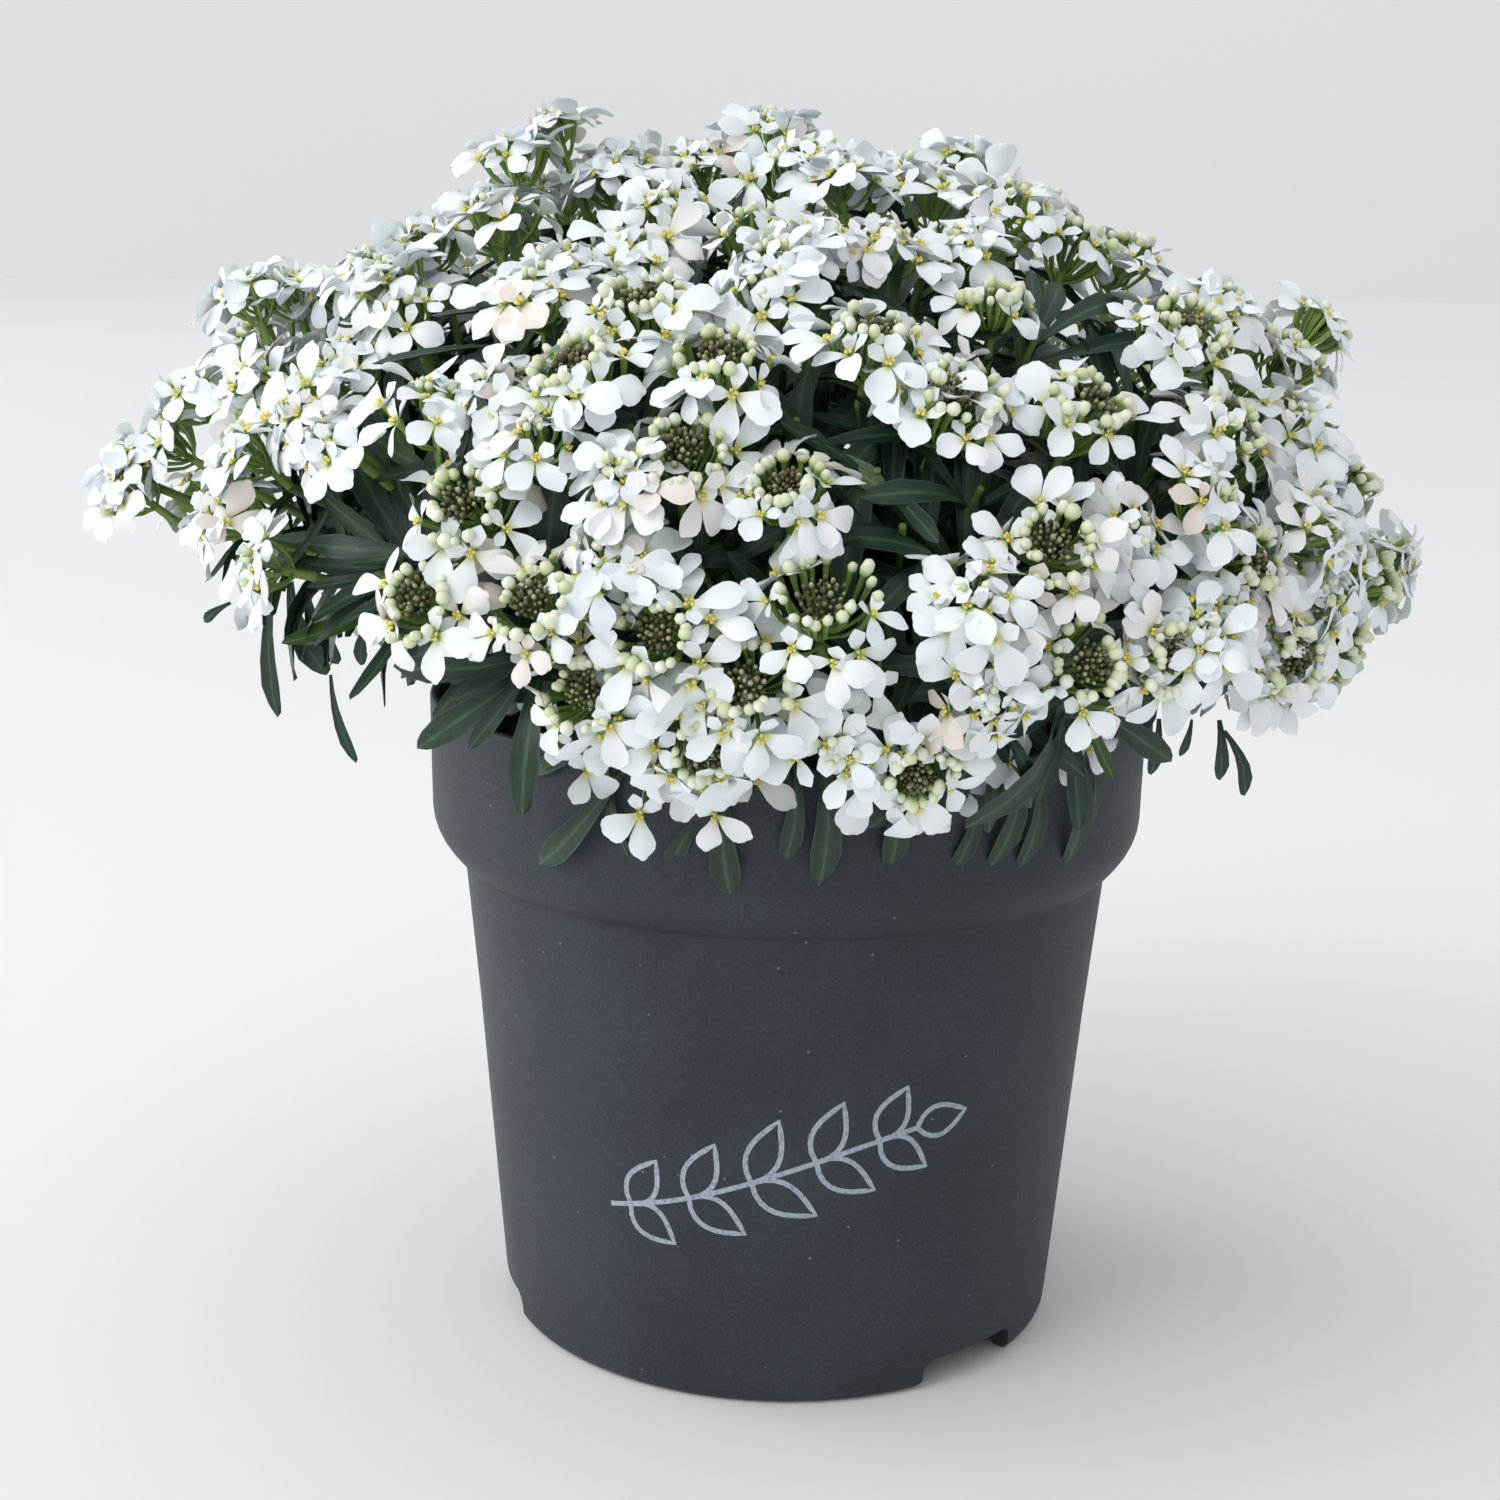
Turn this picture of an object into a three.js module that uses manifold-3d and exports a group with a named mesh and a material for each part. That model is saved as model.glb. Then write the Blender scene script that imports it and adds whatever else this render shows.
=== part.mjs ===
// Potted evergreen candytuft: a nursery pot filled with soil, from which woody branches
// fork into shoots that carry narrow leaves and a dome of white flower heads.
// Millimetres, +Z up, origin at the centre of the pot's foot, the seen side toward -Y.

import * as THREE from "three";
import { mergeVertices } from "three/addons/utils/BufferGeometryUtils.js";
import Module from "manifold-3d";

const wasm = await Module();
wasm.setup();

// Pot
const POT_HEIGHT = 116.4;
const RIM_RADIUS = 65;
const RIM_ROUND = 0.8;
const COLLAR_FOOT_Z = 95.2;
const COLLAR_FOOT_RADIUS = 64.7;
const CREASE_Z = 86.3;
const CREASE_RADIUS = 59.05;
const FOOT_RADIUS = 51.5;
const FOOT_CORNER = 2.6;
const FOOT_RING_WIDTH = 1.1;
const UNDERSIDE_ROUND = 2.6;
const WALL = 1.5;
const FLOOR_Z = 6.2;
const FLOOR_THICKNESS = 1.6;
const POT_SIDES = 32;
const FOOT_NOTCHES = 3;
const FIRST_NOTCH_DEG = 43;
const NOTCH_WIDTH = 22;
const NOTCH_HEIGHT = 5.6;
const NOTCH_CORNER = 2.5;
const NOTCH_DEPTH = 12;
const NOTCH_START = 4;
const DRAIN_HOLES = 5;
const DRAIN_HOLE_RADIUS = 3.5;
const HOLE_SIDES = 8;
const DRAIN_CIRCLE_RADIUS = 34;

// Soil
const SOIL_GAP = 0.3;
const SOIL_EDGE_Z = 104;
const SOIL_MIDDLE_Z = 107;
const SOIL_SIDES = 16;
const STEM_HOLE_RADIUS = 2.7;
const STEM_HOLE_DEPTH = 10;

// Dome of flower heads: an ellipsoid round the pot's axis, flatter below its widest height
const DOME_MIDDLE_X = -4;
const DOME_HALF_WIDTH = 106;
const DOME_HALF_DEPTH = 101;
const DOME_WIDEST_Z = 140;
const DOME_RISE = 71;
const DOME_DROP = 46;
const EDGE_SKEW = 0.22;
const HEAD_LIFT = 0.35;
const HEAD_SPREAD = 1.18;

// The heads of the seen side are given as [x, z, radius], where x and z are read on the
// plane through the pot's axis, looking from this place.
const EYE = new THREE.Vector3(0, -428, 201.6);
const SEEN_HEADS = [
  // top
  [-50, 214, 10], [-65, 199, 11], [-52, 200, 10], [-32, 211, 10], [-19, 213, 9],
  [-5, 215, 9], [-23, 204, 11], [-31, 197, 11], [-44, 193, 11], [-8, 202, 11],
  [4, 210, 10], [20, 210, 10], [-5, 193, 10], [16, 197, 11], [36, 203, 10],
  [51, 199, 11], [68, 193, 10], [35, 189, 8],
  // left
  [-98, 186, 11], [-82, 189, 11], [-96, 174, 10], [-83, 177, 11], [-109, 168, 10],
  [-87, 165, 11], [-98, 158, 10], [-120, 151, 10], [-105, 146, 11], [-99, 134, 10],
  // middle
  [-69, 187, 10], [-27, 185, 12], [-39, 174, 12], [-65, 168, 12], [-13, 175, 12],
  [-61, 150, 12], [-46, 162, 9], [-69, 132, 12], [-47, 132, 12], [-20, 160, 13],
  [-1, 154, 10], [-34, 141, 9], [-24, 126, 12], [-38, 115, 11], [-8, 117, 12],
  [6, 133, 14], [-15, 104, 11], [9, 104, 10], [14, 179, 11], [29, 170, 13],
  [53, 170, 13], [47, 144, 12], [34, 133, 11], [36, 115, 10], [24, 102, 10],
  [55, 122, 12], [69, 124, 11], [62, 148, 9],
  // right
  [68, 181, 12], [89, 181, 11], [78, 167, 11], [90, 168, 10], [76, 153, 10],
  [84, 141, 10], [96, 155, 11], [107, 140, 11], [94, 130, 10], [88, 118, 10],
  // lower edge
  [-30, 97, 10], [-3, 95, 9], [17, 94, 9],
];

// The heads of the unseen side follow a golden-angle spiral down the dome.
const SPIRAL_POINTS = 190;
const SPIRAL_TOP = 0.97;
const SPIRAL_LOW = -0.5;
const SPIRAL_HEAD_RADIUS = 18;
const SPIRAL_FRONT_Y = -18;
const SPIRAL_SPACING = 24;
const GOLDEN_ANGLE = Math.PI * (3 - Math.sqrt(5));

// Form of a flower head, as shares of its radius
const LARGE_HEAD = 11.5;
const LARGE_HEAD_FLORETS = 6;
const SMALL_HEAD_FLORETS = 5;
const CORE_TOP_RADIUS = 0.36;
const CORE_TOP_HEIGHT = 0.12;
const CORE_FOOT_RADIUS = 0.24;
const CORE_FOOT_HEIGHT = -0.12;
const CORE_TIP_HEIGHT = -0.5;
const BUD_RING_RADIUS = 0.2;
const BUD_HEIGHTS = [0.36, 0.22];
const MIDDLE_HEIGHT = 0.22;
const LOBE_RADIUS = 1;
const NOTCH_RADIUS = 0.84;
const LEAST_REACH = 0.92;
const REACH_SPREAD = 0.16;
const LINK_LOBE_RADIUS = 0.72;
const FLORET_DROOP = 0.05;
const FLORET_SWAY = 0.12;
const FLORET_SLIT = 0.07;
const PETAL_THICKNESS = 0.8;
const HEAD_GAP = 0.3;
const BORDER_REACH = 1.6;

// Heads that touch are joined in chains, petal to petal.
const CHAIN_REACH = 31;
const CHAIN_LENGTHS = { front: 2, rest: 4 };
const FRONT_LIMIT_Y = -76;
const LEAST_LINK_ANGLE = 0.7;
const LINK_OVERLAP = 2.2;
const LINK_MARGIN = 0.3;

// Branches: an outer and an inner ring of forks, each over its own hole in the soil, more
// of them on the seen side, where the heads are denser
const FORK_RINGS = [
  { radius: 50, z: 137, holeRadius: 34, turnsDeg: [-162, -127, -98, -70, -38, 2, 50, 100, 150] },
  { radius: 20, z: 156, holeRadius: 12, turnsDeg: [-130, -45, 85] },
];
const STEM_RADIUS = 1.8;
const STEM_SIDES = 5;
const SHOOT_RADIUS = 0.85;
const SHOOT_SIDES = 3;
const KNOT_RADIUS = 6;
const STALK_GAP = 0.35;

// Leaves
const LEAVES_PER_SHOOT = 1.09;
const LEAF_ROOTS = [0.5, 0.88];
const LEAF_LENGTH = [20, 28];
const LEAF_SAG = 0.12;
const LEAF_WIDTH = 5;
const LEAF_KEEL = 1.3;
const LEAF_TRIES = 12;
const LEAF_CLEARANCE = 0.5;

// Low leafy twigs at the dome's lower edge: where each ends, and the tips of its leaves
const TWIG_LAST_LEAF = 0.97;
const TWIG_LEAF_STEP = 0.08;
const TWIG_LEAF_BOW = 4.5;
const LOW_TWIGS = [
  { end: [-80, -22, 128], tips: [[-88, -26, 100], [-79, -28, 112], [-72, -20, 111], [-99, -20, 126]] },
  { end: [78, 2, 126], tips: [[82, 4, 98], [90, 6, 96], [72, 0, 102], [70, -10, 106]] },
  { end: [-36, -72, 124], tips: [[-43, -82, 104], [-30, -84, 102], [-22, -82, 102]] },
  { end: [0, -78, 122], tips: [[-9, -88, 99], [3, -90, 101], [12, -88, 100]] },
  { end: [40, -68, 122], tips: [[32, -82, 100], [46, -80, 98], [58, -70, 102]] },
  { end: [-52, 60, 124], tips: [[-60, 76, 102], [-44, 80, 100]] },
  { end: [4, 78, 123], tips: [[-6, 92, 101], [14, 92, 100]] },
  { end: [56, 56, 124], tips: [[64, 72, 102], [48, 76, 101]] },
];

const COLOURS = {
  pot: "#464c54",
  soil: "#2b221b",
  petals: "#f2f5f8",
  leaves: "#2c4638",
};

const UP = new THREE.Vector3(0, 0, 1);
const FULL_TURN = 2 * Math.PI;
const SERIES_FACTOR = 48271;
const SERIES_PRIME = 2147483647;
const DOME_MIDDLE = new THREE.Vector3(DOME_MIDDLE_X, 0, DOME_WIDEST_Z);

// A repeatable series of numbers from 0 to 1.
function seeded(seed) {
  let state = seed;
  return () => {
    state = (state * SERIES_FACTOR) % SERIES_PRIME;
    return state / SERIES_PRIME;
  };
}

function solidOf(geometry) {
  const bare = new THREE.BufferGeometry().setAttribute("position", geometry.getAttribute("position"));
  if (geometry.index) {
    bare.setIndex(geometry.index);
  }
  const merged = mergeVertices(bare, 1e-4);
  return new wasm.Manifold(
    new wasm.Mesh({
      numProp: 3,
      vertProperties: new Float32Array(merged.attributes.position.array),
      triVerts: new Uint32Array(merged.index.array),
    }),
  );
}

function solidFrom(points, triangles) {
  return new wasm.Manifold(
    new wasm.Mesh({
      numProp: 3,
      vertProperties: new Float32Array(points.flatMap((p) => [p.x, p.y, p.z])),
      triVerts: new Uint32Array(triangles.flat()),
    }),
  );
}

function geometryOf(solid) {
  const mesh = solid.getMesh();
  const geometry = new THREE.BufferGeometry();
  geometry.setAttribute("position", new THREE.BufferAttribute(new Float32Array(mesh.vertProperties), 3));
  geometry.setIndex(new THREE.BufferAttribute(new Uint32Array(mesh.triVerts), 1));
  return geometry;
}

function lathe(profile, sides) {
  const geometry = new THREE.LatheGeometry(profile, sides);
  geometry.rotateX(Math.PI / 2);
  return solidOf(geometry);
}

function tube(curve, radius, sides, steps) {
  const section = new THREE.Shape();
  for (let i = 0; i < sides; i += 1) {
    const angle = (i / sides) * 2 * Math.PI;
    const corner = [radius * Math.cos(angle), radius * Math.sin(angle)];
    if (i === 0) {
      section.moveTo(...corner);
    } else {
      section.lineTo(...corner);
    }
  }
  return solidOf(new THREE.ExtrudeGeometry(section, { steps, extrudePath: curve, bevelEnabled: false }));
}

function upright(radius, lowZ, highZ, x, y, sides) {
  const geometry = new THREE.CylinderGeometry(radius, radius, highZ - lowZ, sides);
  geometry.rotateX(Math.PI / 2);
  geometry.translate(x, y, (lowZ + highZ) / 2);
  return solidOf(geometry);
}

// Pot: one wall from the foot ring up the tapered body and the collar to the rim, and back
// down inside to a floor that stands clear of the ground.
function potProfile() {
  const inner = FOOT_RADIUS - FOOT_CORNER - FOOT_RING_WIDTH;
  const corner = [0, 30, 60, 90].map((deg) => {
    const angle = THREE.MathUtils.degToRad(deg);
    return [
      FOOT_RADIUS - FOOT_CORNER + FOOT_CORNER * Math.sin(angle),
      FOOT_CORNER - FOOT_CORNER * Math.cos(angle),
    ];
  });
  const outline = [
    [0, FLOOR_Z],
    [inner, FLOOR_Z],
    [inner, 0],
    ...corner,
    [CREASE_RADIUS, CREASE_Z],
    [CREASE_RADIUS + UNDERSIDE_ROUND, CREASE_Z + UNDERSIDE_ROUND],
    [COLLAR_FOOT_RADIUS - UNDERSIDE_ROUND * 0.4, COLLAR_FOOT_Z - UNDERSIDE_ROUND],
    [COLLAR_FOOT_RADIUS, COLLAR_FOOT_Z],
    [RIM_RADIUS, POT_HEIGHT - RIM_ROUND],
    [RIM_RADIUS - RIM_ROUND * 0.7, POT_HEIGHT],
    [RIM_RADIUS - WALL, POT_HEIGHT],
    [COLLAR_FOOT_RADIUS - WALL, COLLAR_FOOT_Z],
    [CREASE_RADIUS - WALL, CREASE_Z + 1],
    [FOOT_RADIUS - WALL, FLOOR_Z + FLOOR_THICKNESS],
    [0, FLOOR_Z + FLOOR_THICKNESS],
  ];
  return outline.map(([x, y]) => new THREE.Vector2(x, y));
}

// The opening in the foot ring through which water runs out, as an upright outline with
// round upper corners.
function footNotch(turn) {
  const half = NOTCH_WIDTH / 2;
  const outline = new THREE.Shape();
  outline.moveTo(-half, -1);
  outline.lineTo(half, -1);
  outline.lineTo(half, NOTCH_HEIGHT - NOTCH_CORNER);
  outline.lineTo(half - NOTCH_CORNER * 0.3, NOTCH_HEIGHT - NOTCH_CORNER * 0.3);
  outline.lineTo(half - NOTCH_CORNER, NOTCH_HEIGHT);
  outline.lineTo(NOTCH_CORNER - half, NOTCH_HEIGHT);
  outline.lineTo(NOTCH_CORNER * 0.3 - half, NOTCH_HEIGHT - NOTCH_CORNER * 0.3);
  outline.lineTo(-half, NOTCH_HEIGHT - NOTCH_CORNER);
  const geometry = new THREE.ExtrudeGeometry(outline, { depth: NOTCH_DEPTH, bevelEnabled: false });
  geometry.rotateX(Math.PI / 2);
  geometry.translate(0, NOTCH_DEPTH - NOTCH_START - FOOT_RADIUS, 0);
  geometry.rotateZ(turn);
  return solidOf(geometry);
}

function makePot() {
  let pot = lathe(potProfile(), POT_SIDES);
  for (let i = 0; i < FOOT_NOTCHES; i += 1) {
    const turn = THREE.MathUtils.degToRad(FIRST_NOTCH_DEG + (i * 360) / FOOT_NOTCHES);
    pot = pot.subtract(footNotch(turn));
  }
  for (let i = 0; i < DRAIN_HOLES; i += 1) {
    const angle = (i / DRAIN_HOLES) * 2 * Math.PI;
    const x = DRAIN_CIRCLE_RADIUS * Math.cos(angle);
    const y = DRAIN_CIRCLE_RADIUS * Math.sin(angle);
    const top = FLOOR_Z + FLOOR_THICKNESS + 1;
    pot = pot.subtract(upright(DRAIN_HOLE_RADIUS, FLOOR_Z - 1, top, x, y, HOLE_SIDES));
  }
  return pot;
}

// Soil: fills the pot to below the rim, with a plain hole for each stem.
function makeSoil(forks) {
  const floor = FLOOR_Z + FLOOR_THICKNESS + SOIL_GAP;
  const inset = WALL + SOIL_GAP;
  const outline = [
    [0, floor],
    [FOOT_RADIUS - inset, floor],
    [CREASE_RADIUS - inset, CREASE_Z + 1],
    [COLLAR_FOOT_RADIUS - inset, COLLAR_FOOT_Z],
    [COLLAR_FOOT_RADIUS - inset, SOIL_EDGE_Z],
    [40, SOIL_EDGE_Z + 1.6],
    [18, SOIL_MIDDLE_Z],
    [0, SOIL_MIDDLE_Z + 0.4],
  ];
  let soil = lathe(outline.map(([x, y]) => new THREE.Vector2(x, y)), SOIL_SIDES);
  for (const fork of forks) {
    const { x, y, z } = fork.hole;
    soil = soil.subtract(upright(STEM_HOLE_RADIUS, z, SOIL_MIDDLE_Z + STEM_HOLE_DEPTH, x, y, HOLE_SIDES));
  }
  return soil;
}

// Where a head seen at x, z lies: on the near side of the dome, or beside it at its edge.
function seenPlace(x, z) {
  const way = new THREE.Vector3(x, 0, z).sub(EYE);
  for (const half of [DOME_RISE, DOME_DROP]) {
    const scale = new THREE.Vector3(1 / DOME_HALF_WIDTH, 1 / DOME_HALF_DEPTH, 1 / half);
    const start = EYE.clone().sub(DOME_MIDDLE).multiply(scale);
    const step = way.clone().multiply(scale);
    const a = step.lengthSq();
    const b = 2 * start.dot(step);
    const c = start.lengthSq() - 1;
    const inside = b * b - 4 * a * c;
    if (inside <= 0) {
      continue;
    }
    const place = EYE.clone().addScaledVector(way, (-b - Math.sqrt(inside)) / (2 * a));
    if (half === DOME_DROP || place.z >= DOME_WIDEST_Z) {
      return place;
    }
  }
  return EYE.clone().addScaledVector(way, 1 + (EDGE_SKEW * x) / -EYE.y);
}

// The way a head at this place faces: out of the dome and a little up.
function facing(place) {
  const half = place.z > DOME_WIDEST_Z ? DOME_RISE : DOME_DROP;
  const out = new THREE.Vector3(
    (place.x - DOME_MIDDLE_X) / DOME_HALF_WIDTH ** 2,
    place.y / DOME_HALF_DEPTH ** 2,
    (place.z - DOME_WIDEST_Z) / half ** 2,
  );
  return out.normalize().addScaledVector(UP, HEAD_LIFT).normalize();
}

function headPlaces() {
  const random = seeded(7);
  const heads = SEEN_HEADS.map(([x, z, radius]) => ({
    centre: seenPlace(x, z),
    radius: radius * HEAD_SPREAD,
    florets: radius >= LARGE_HEAD ? LARGE_HEAD_FLORETS : SMALL_HEAD_FLORETS,
  }));
  for (let i = 0; i < SPIRAL_POINTS; i += 1) {
    const rise = SPIRAL_TOP + ((SPIRAL_LOW - SPIRAL_TOP) * (i + 0.5)) / SPIRAL_POINTS;
    const spread = Math.sqrt(1 - rise * rise);
    const angle = i * GOLDEN_ANGLE;
    const centre = new THREE.Vector3(
      DOME_MIDDLE_X + DOME_HALF_WIDTH * spread * Math.cos(angle),
      DOME_HALF_DEPTH * spread * Math.sin(angle),
      DOME_WIDEST_Z + (rise > 0 ? DOME_RISE : DOME_DROP) * rise,
    );
    const free = heads.every((head) => head.centre.distanceTo(centre) > SPIRAL_SPACING);
    if (centre.y > SPIRAL_FRONT_Y && free) {
      heads.push({ centre, radius: SPIRAL_HEAD_RADIUS, florets: SMALL_HEAD_FLORETS });
    }
  }
  for (const head of heads) {
    head.axis = facing(head.centre);
    head.spin = random() * FULL_TURN;
    head.right = new THREE.Vector3().crossVectors(UP, head.axis).normalize();
    head.ahead = new THREE.Vector3().crossVectors(head.axis, head.right);
    head.links = [];
  }
  return heads;
}

function angleToward(head, place) {
  const way = place.clone().sub(head.centre);
  return Math.atan2(way.dot(head.ahead), way.dot(head.right));
}

// Two heads touch when no third one lies between them.
function touch(head, other, heads) {
  const meet = head.centre.clone().add(other.centre).multiplyScalar(0.5);
  const half = meet.distanceTo(head.centre);
  return (
    2 * half < CHAIN_REACH &&
    heads
      .filter((third) => third !== head && third !== other)
      .every((third) => third.centre.distanceTo(meet) > half + LINK_MARGIN)
  );
}

function freeNear(head, free, heads) {
  return [...free]
    .filter((other) => other !== head && touch(head, other, heads))
    .filter((other) =>
      head.links.every((link) => {
        const turn = Math.abs(link.angle - angleToward(head, other.centre)) % FULL_TURN;
        return Math.min(turn, FULL_TURN - turn) > LEAST_LINK_ANGLE;
      }),
    )
    .sort((a, b) => a.centre.distanceTo(head.centre) - b.centre.distanceTo(head.centre));
}

// Chains of neighbouring heads, each linked to the next by a pair of petals, begun with
// the head that has the fewest free neighbours, so that few stay alone.
function chainHeads(heads) {
  const free = new Set(heads);
  const chains = [];
  while (free.size) {
    const first = [...free].reduce((best, head) =>
      freeNear(head, free, heads).length < freeNear(best, free, heads).length ? head : best,
    );
    free.delete(first);
    const chain = [first];
    const length = first.centre.y < FRONT_LIMIT_Y ? CHAIN_LENGTHS.front : CHAIN_LENGTHS.rest;
    while (chain.length < length) {
      const last = chain[chain.length - 1];
      const [next] = freeNear(last, free, heads);
      if (!next) {
        break;
      }
      const meet = last.centre.clone().add(next.centre).multiplyScalar(0.5);
      last.links.push({ angle: angleToward(last, next.centre), meet, other: next });
      next.links.push({ angle: angleToward(next, last.centre), meet, other: last });
      chain.push(next);
      free.delete(next);
    }
    chains.push(chain);
  }
  return chains;
}

// Middle angles of a head's florets: its links first, the rest evenly between them.
function floretAngles(head) {
  const fixed = head.links
    .map((link) => (link.angle + FULL_TURN) % FULL_TURN)
    .sort((a, b) => a - b);
  if (!fixed.length) {
    fixed.push(head.spin);
  }
  const angles = [];
  fixed.forEach((start, i) => {
    const end = i + 1 < fixed.length ? fixed[i + 1] : fixed[0] + FULL_TURN;
    const parts = Math.max(1, Math.round(((end - start) * head.florets) / FULL_TURN));
    for (let k = 0; k < parts; k += 1) {
      angles.push(start + ((end - start) * k) / parts);
    }
  });
  return angles;
}

// A corner of a petal is drawn in where it would cross into a neighbouring head.
function keptClear(head, corner, borders) {
  let share = 1;
  const way = corner.clone().sub(head.centre);
  for (const { normal, distance } of borders) {
    const reach = way.dot(normal);
    if (reach > distance) {
      share = Math.min(share, distance / reach);
    }
  }
  return head.centre.clone().addScaledVector(way, share);
}

function bordersOf(head, heads) {
  return heads
    .filter((other) => other !== head)
    .filter((other) => other.centre.distanceTo(head.centre) < BORDER_REACH * (other.radius + head.radius))
    .map((other) => {
      const normal = other.centre.clone().sub(head.centre);
      const distance = normal.length();
      const share = head.radius / (head.radius + other.radius);
      return { other, normal: normal.normalize(), distance: distance * share - HEAD_GAP / 2 };
    });
}

// A flower head: a low core with buds on top, out of which florets of two petals stand.
function headSolid(head, heads) {
  const random = seeded(Math.round(head.spin * 1000) + 11);
  const borders = bordersOf(head, heads);
  const r = head.radius;
  const at = (angle, radius, height) =>
    head.centre
      .clone()
      .addScaledVector(head.right, radius * r * Math.cos(angle))
      .addScaledVector(head.ahead, radius * r * Math.sin(angle))
      .addScaledVector(head.axis, height * r);
  const angles = floretAngles(head);
  const count = angles.length;
  const points = [at(0, 0, MIDDLE_HEIGHT), at(0, 0, CORE_TIP_HEIGHT)];
  const triangles = [];
  const before = angles.map((angle, j) => {
    const last = j === 0 ? angles[count - 1] - FULL_TURN : angles[j - 1];
    return (angle + last) / 2;
  });
  const ring = (radius, heights) =>
    before.map((angle, j) => {
      const corner = at(angle, radius, heights[j % heights.length]);
      return points.push(keptClear(head, corner, borders)) - 1;
    });
  const budded = count >= LARGE_HEAD_FLORETS;
  const top = ring(CORE_TOP_RADIUS, [CORE_TOP_HEIGHT]);
  const bud = budded ? ring(BUD_RING_RADIUS, BUD_HEIGHTS) : top;
  const foot = ring(CORE_FOOT_RADIUS, [CORE_FOOT_HEIGHT]);
  const half = head.axis.clone().multiplyScalar(PETAL_THICKNESS / 2);
  const blade = (corner) => [
    points.push(corner.clone().add(half)) - 1,
    points.push(corner.clone().sub(half)) - 1,
  ];
  angles.forEach((angle, j) => {
    const k = (j + 1) % count;
    const low = before[j] + FLORET_SLIT;
    const high = (j + 1 < count ? before[k] : before[k] + FULL_TURN) - FLORET_SLIT;
    const height = -FLORET_DROOP + FLORET_SWAY * (random() - 0.5);
    const reach = LEAST_REACH + REACH_SPREAD * random();
    const link = head.links.find((l) => Math.abs(Math.sin((l.angle - angle) / 2)) < 1e-6);
    let notch = keptClear(head, at(angle, NOTCH_RADIUS * reach, height), borders);
    if (link) {
      const way = link.other.centre.clone().sub(head.centre).normalize();
      const others = borders.filter((border) => border.other !== link.other);
      notch = keptClear(head, link.meet.clone().addScaledVector(way, LINK_OVERLAP), others);
    }
    const lobe = (link ? LINK_LOBE_RADIUS : LOBE_RADIUS) * reach;
    const corners = [
      keptClear(head, at(low, lobe, height), borders),
      notch,
      keptClear(head, at(high, lobe, height), borders),
    ];
    const [[lt, lb], [nt, nb], [rt, rb]] = corners.map(blade);
    triangles.push([top[j], lt, nt], [top[j], nt, top[k]], [top[k], nt, rt]);
    triangles.push([foot[j], nb, lb], [foot[j], foot[k], nb], [foot[k], rb, nb]);
    triangles.push([top[j], foot[j], lb], [top[j], lb, lt]);
    triangles.push([lt, lb, nb], [lt, nb, nt]);
    triangles.push([nt, nb, rb], [nt, rb, rt]);
    triangles.push([rt, rb, foot[k]], [rt, foot[k], top[k]]);
    if (budded) {
      triangles.push([top[j], top[k], bud[k]], [top[j], bud[k], bud[j]]);
    }
    triangles.push([0, bud[j], bud[k]]);
    triangles.push([1, foot[k], foot[j]]);
  });
  return solidFrom(points, triangles);
}

function makeForks() {
  const forks = [];
  for (const { radius, z, holeRadius, turnsDeg } of FORK_RINGS) {
    for (const turn of turnsDeg) {
      const angle = THREE.MathUtils.degToRad(turn);
      const around = new THREE.Vector3(Math.cos(angle), Math.sin(angle), 0);
      const hole = around.clone().multiplyScalar(holeRadius);
      hole.z = SOIL_MIDDLE_Z - STEM_HOLE_DEPTH;
      const place = around.clone().multiplyScalar(radius);
      place.z = z;
      forks.push({ place, hole, shoots: [], leaves: [] });
    }
  }
  return forks;
}

function nearestFork(forks, place) {
  return forks.reduce((best, fork) =>
    fork.place.distanceTo(place) < best.place.distanceTo(place) ? fork : best,
  );
}

// The swollen place where a stem parts into shoots.
function knot(fork) {
  const { x, y, z } = fork.place;
  return solidOf(new THREE.IcosahedronGeometry(KNOT_RADIUS, 0).translate(x, y, z));
}

function stemCurve(fork) {
  const start = fork.hole.clone().addScaledVector(UP, SOIL_GAP);
  const aboveSoil = start.clone().addScaledVector(UP, STEM_HOLE_DEPTH + 4);
  const bend = fork.place.clone().lerp(aboveSoil, 0.4).addScaledVector(UP, -2);
  return new THREE.CatmullRomCurve3([start, aboveSoil, bend, fork.place]);
}

// A leaf: a narrow blade arched in the plane of its curve, with a keel on its hollow side.
function leafSolid(curve, width, keel) {
  const stations = [
    [0, 0.1],
    [0.4, 0.9],
    [0.78, 0.95],
  ];
  const first = curve.v1.clone().sub(curve.v0);
  const second = curve.v2.clone().sub(curve.v1);
  const across = new THREE.Vector3().crossVectors(first, second).normalize();
  const points = [];
  for (const [along, share] of stations) {
    const place = curve.getPoint(along);
    const below = new THREE.Vector3().crossVectors(across, curve.getTangent(along));
    points.push(place.clone().addScaledVector(across, (-width / 2) * share));
    points.push(place.clone().addScaledVector(across, (width / 2) * share));
    points.push(place.clone().addScaledVector(below, keel * share));
  }
  points.push(curve.getPoint(1));
  const triangles = [[0, 1, 2]];
  for (let s = 0; s + 1 < stations.length; s += 1) {
    for (let i = 0; i < 3; i += 1) {
      const a = 3 * s + i;
      const b = 3 * s + ((i + 1) % 3);
      triangles.push([a, a + 3, b + 3], [a, b + 3, b]);
    }
  }
  const last = 3 * (stations.length - 1);
  const tip = points.length - 1;
  triangles.push([last, tip, last + 1], [last + 1, tip, last + 2], [last + 2, tip, last]);
  return solidFrom(points, triangles);
}

function boxesMeet(a, b) {
  return [0, 1, 2].every((i) => a.min[i] < b.max[i] && b.min[i] < a.max[i]);
}

function isClear(solid, others) {
  const box = solid.boundingBox();
  return others.every(
    (other) => !boxesMeet(box, other.boundingBox()) || solid.intersect(other).isEmpty(),
  );
}

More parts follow.
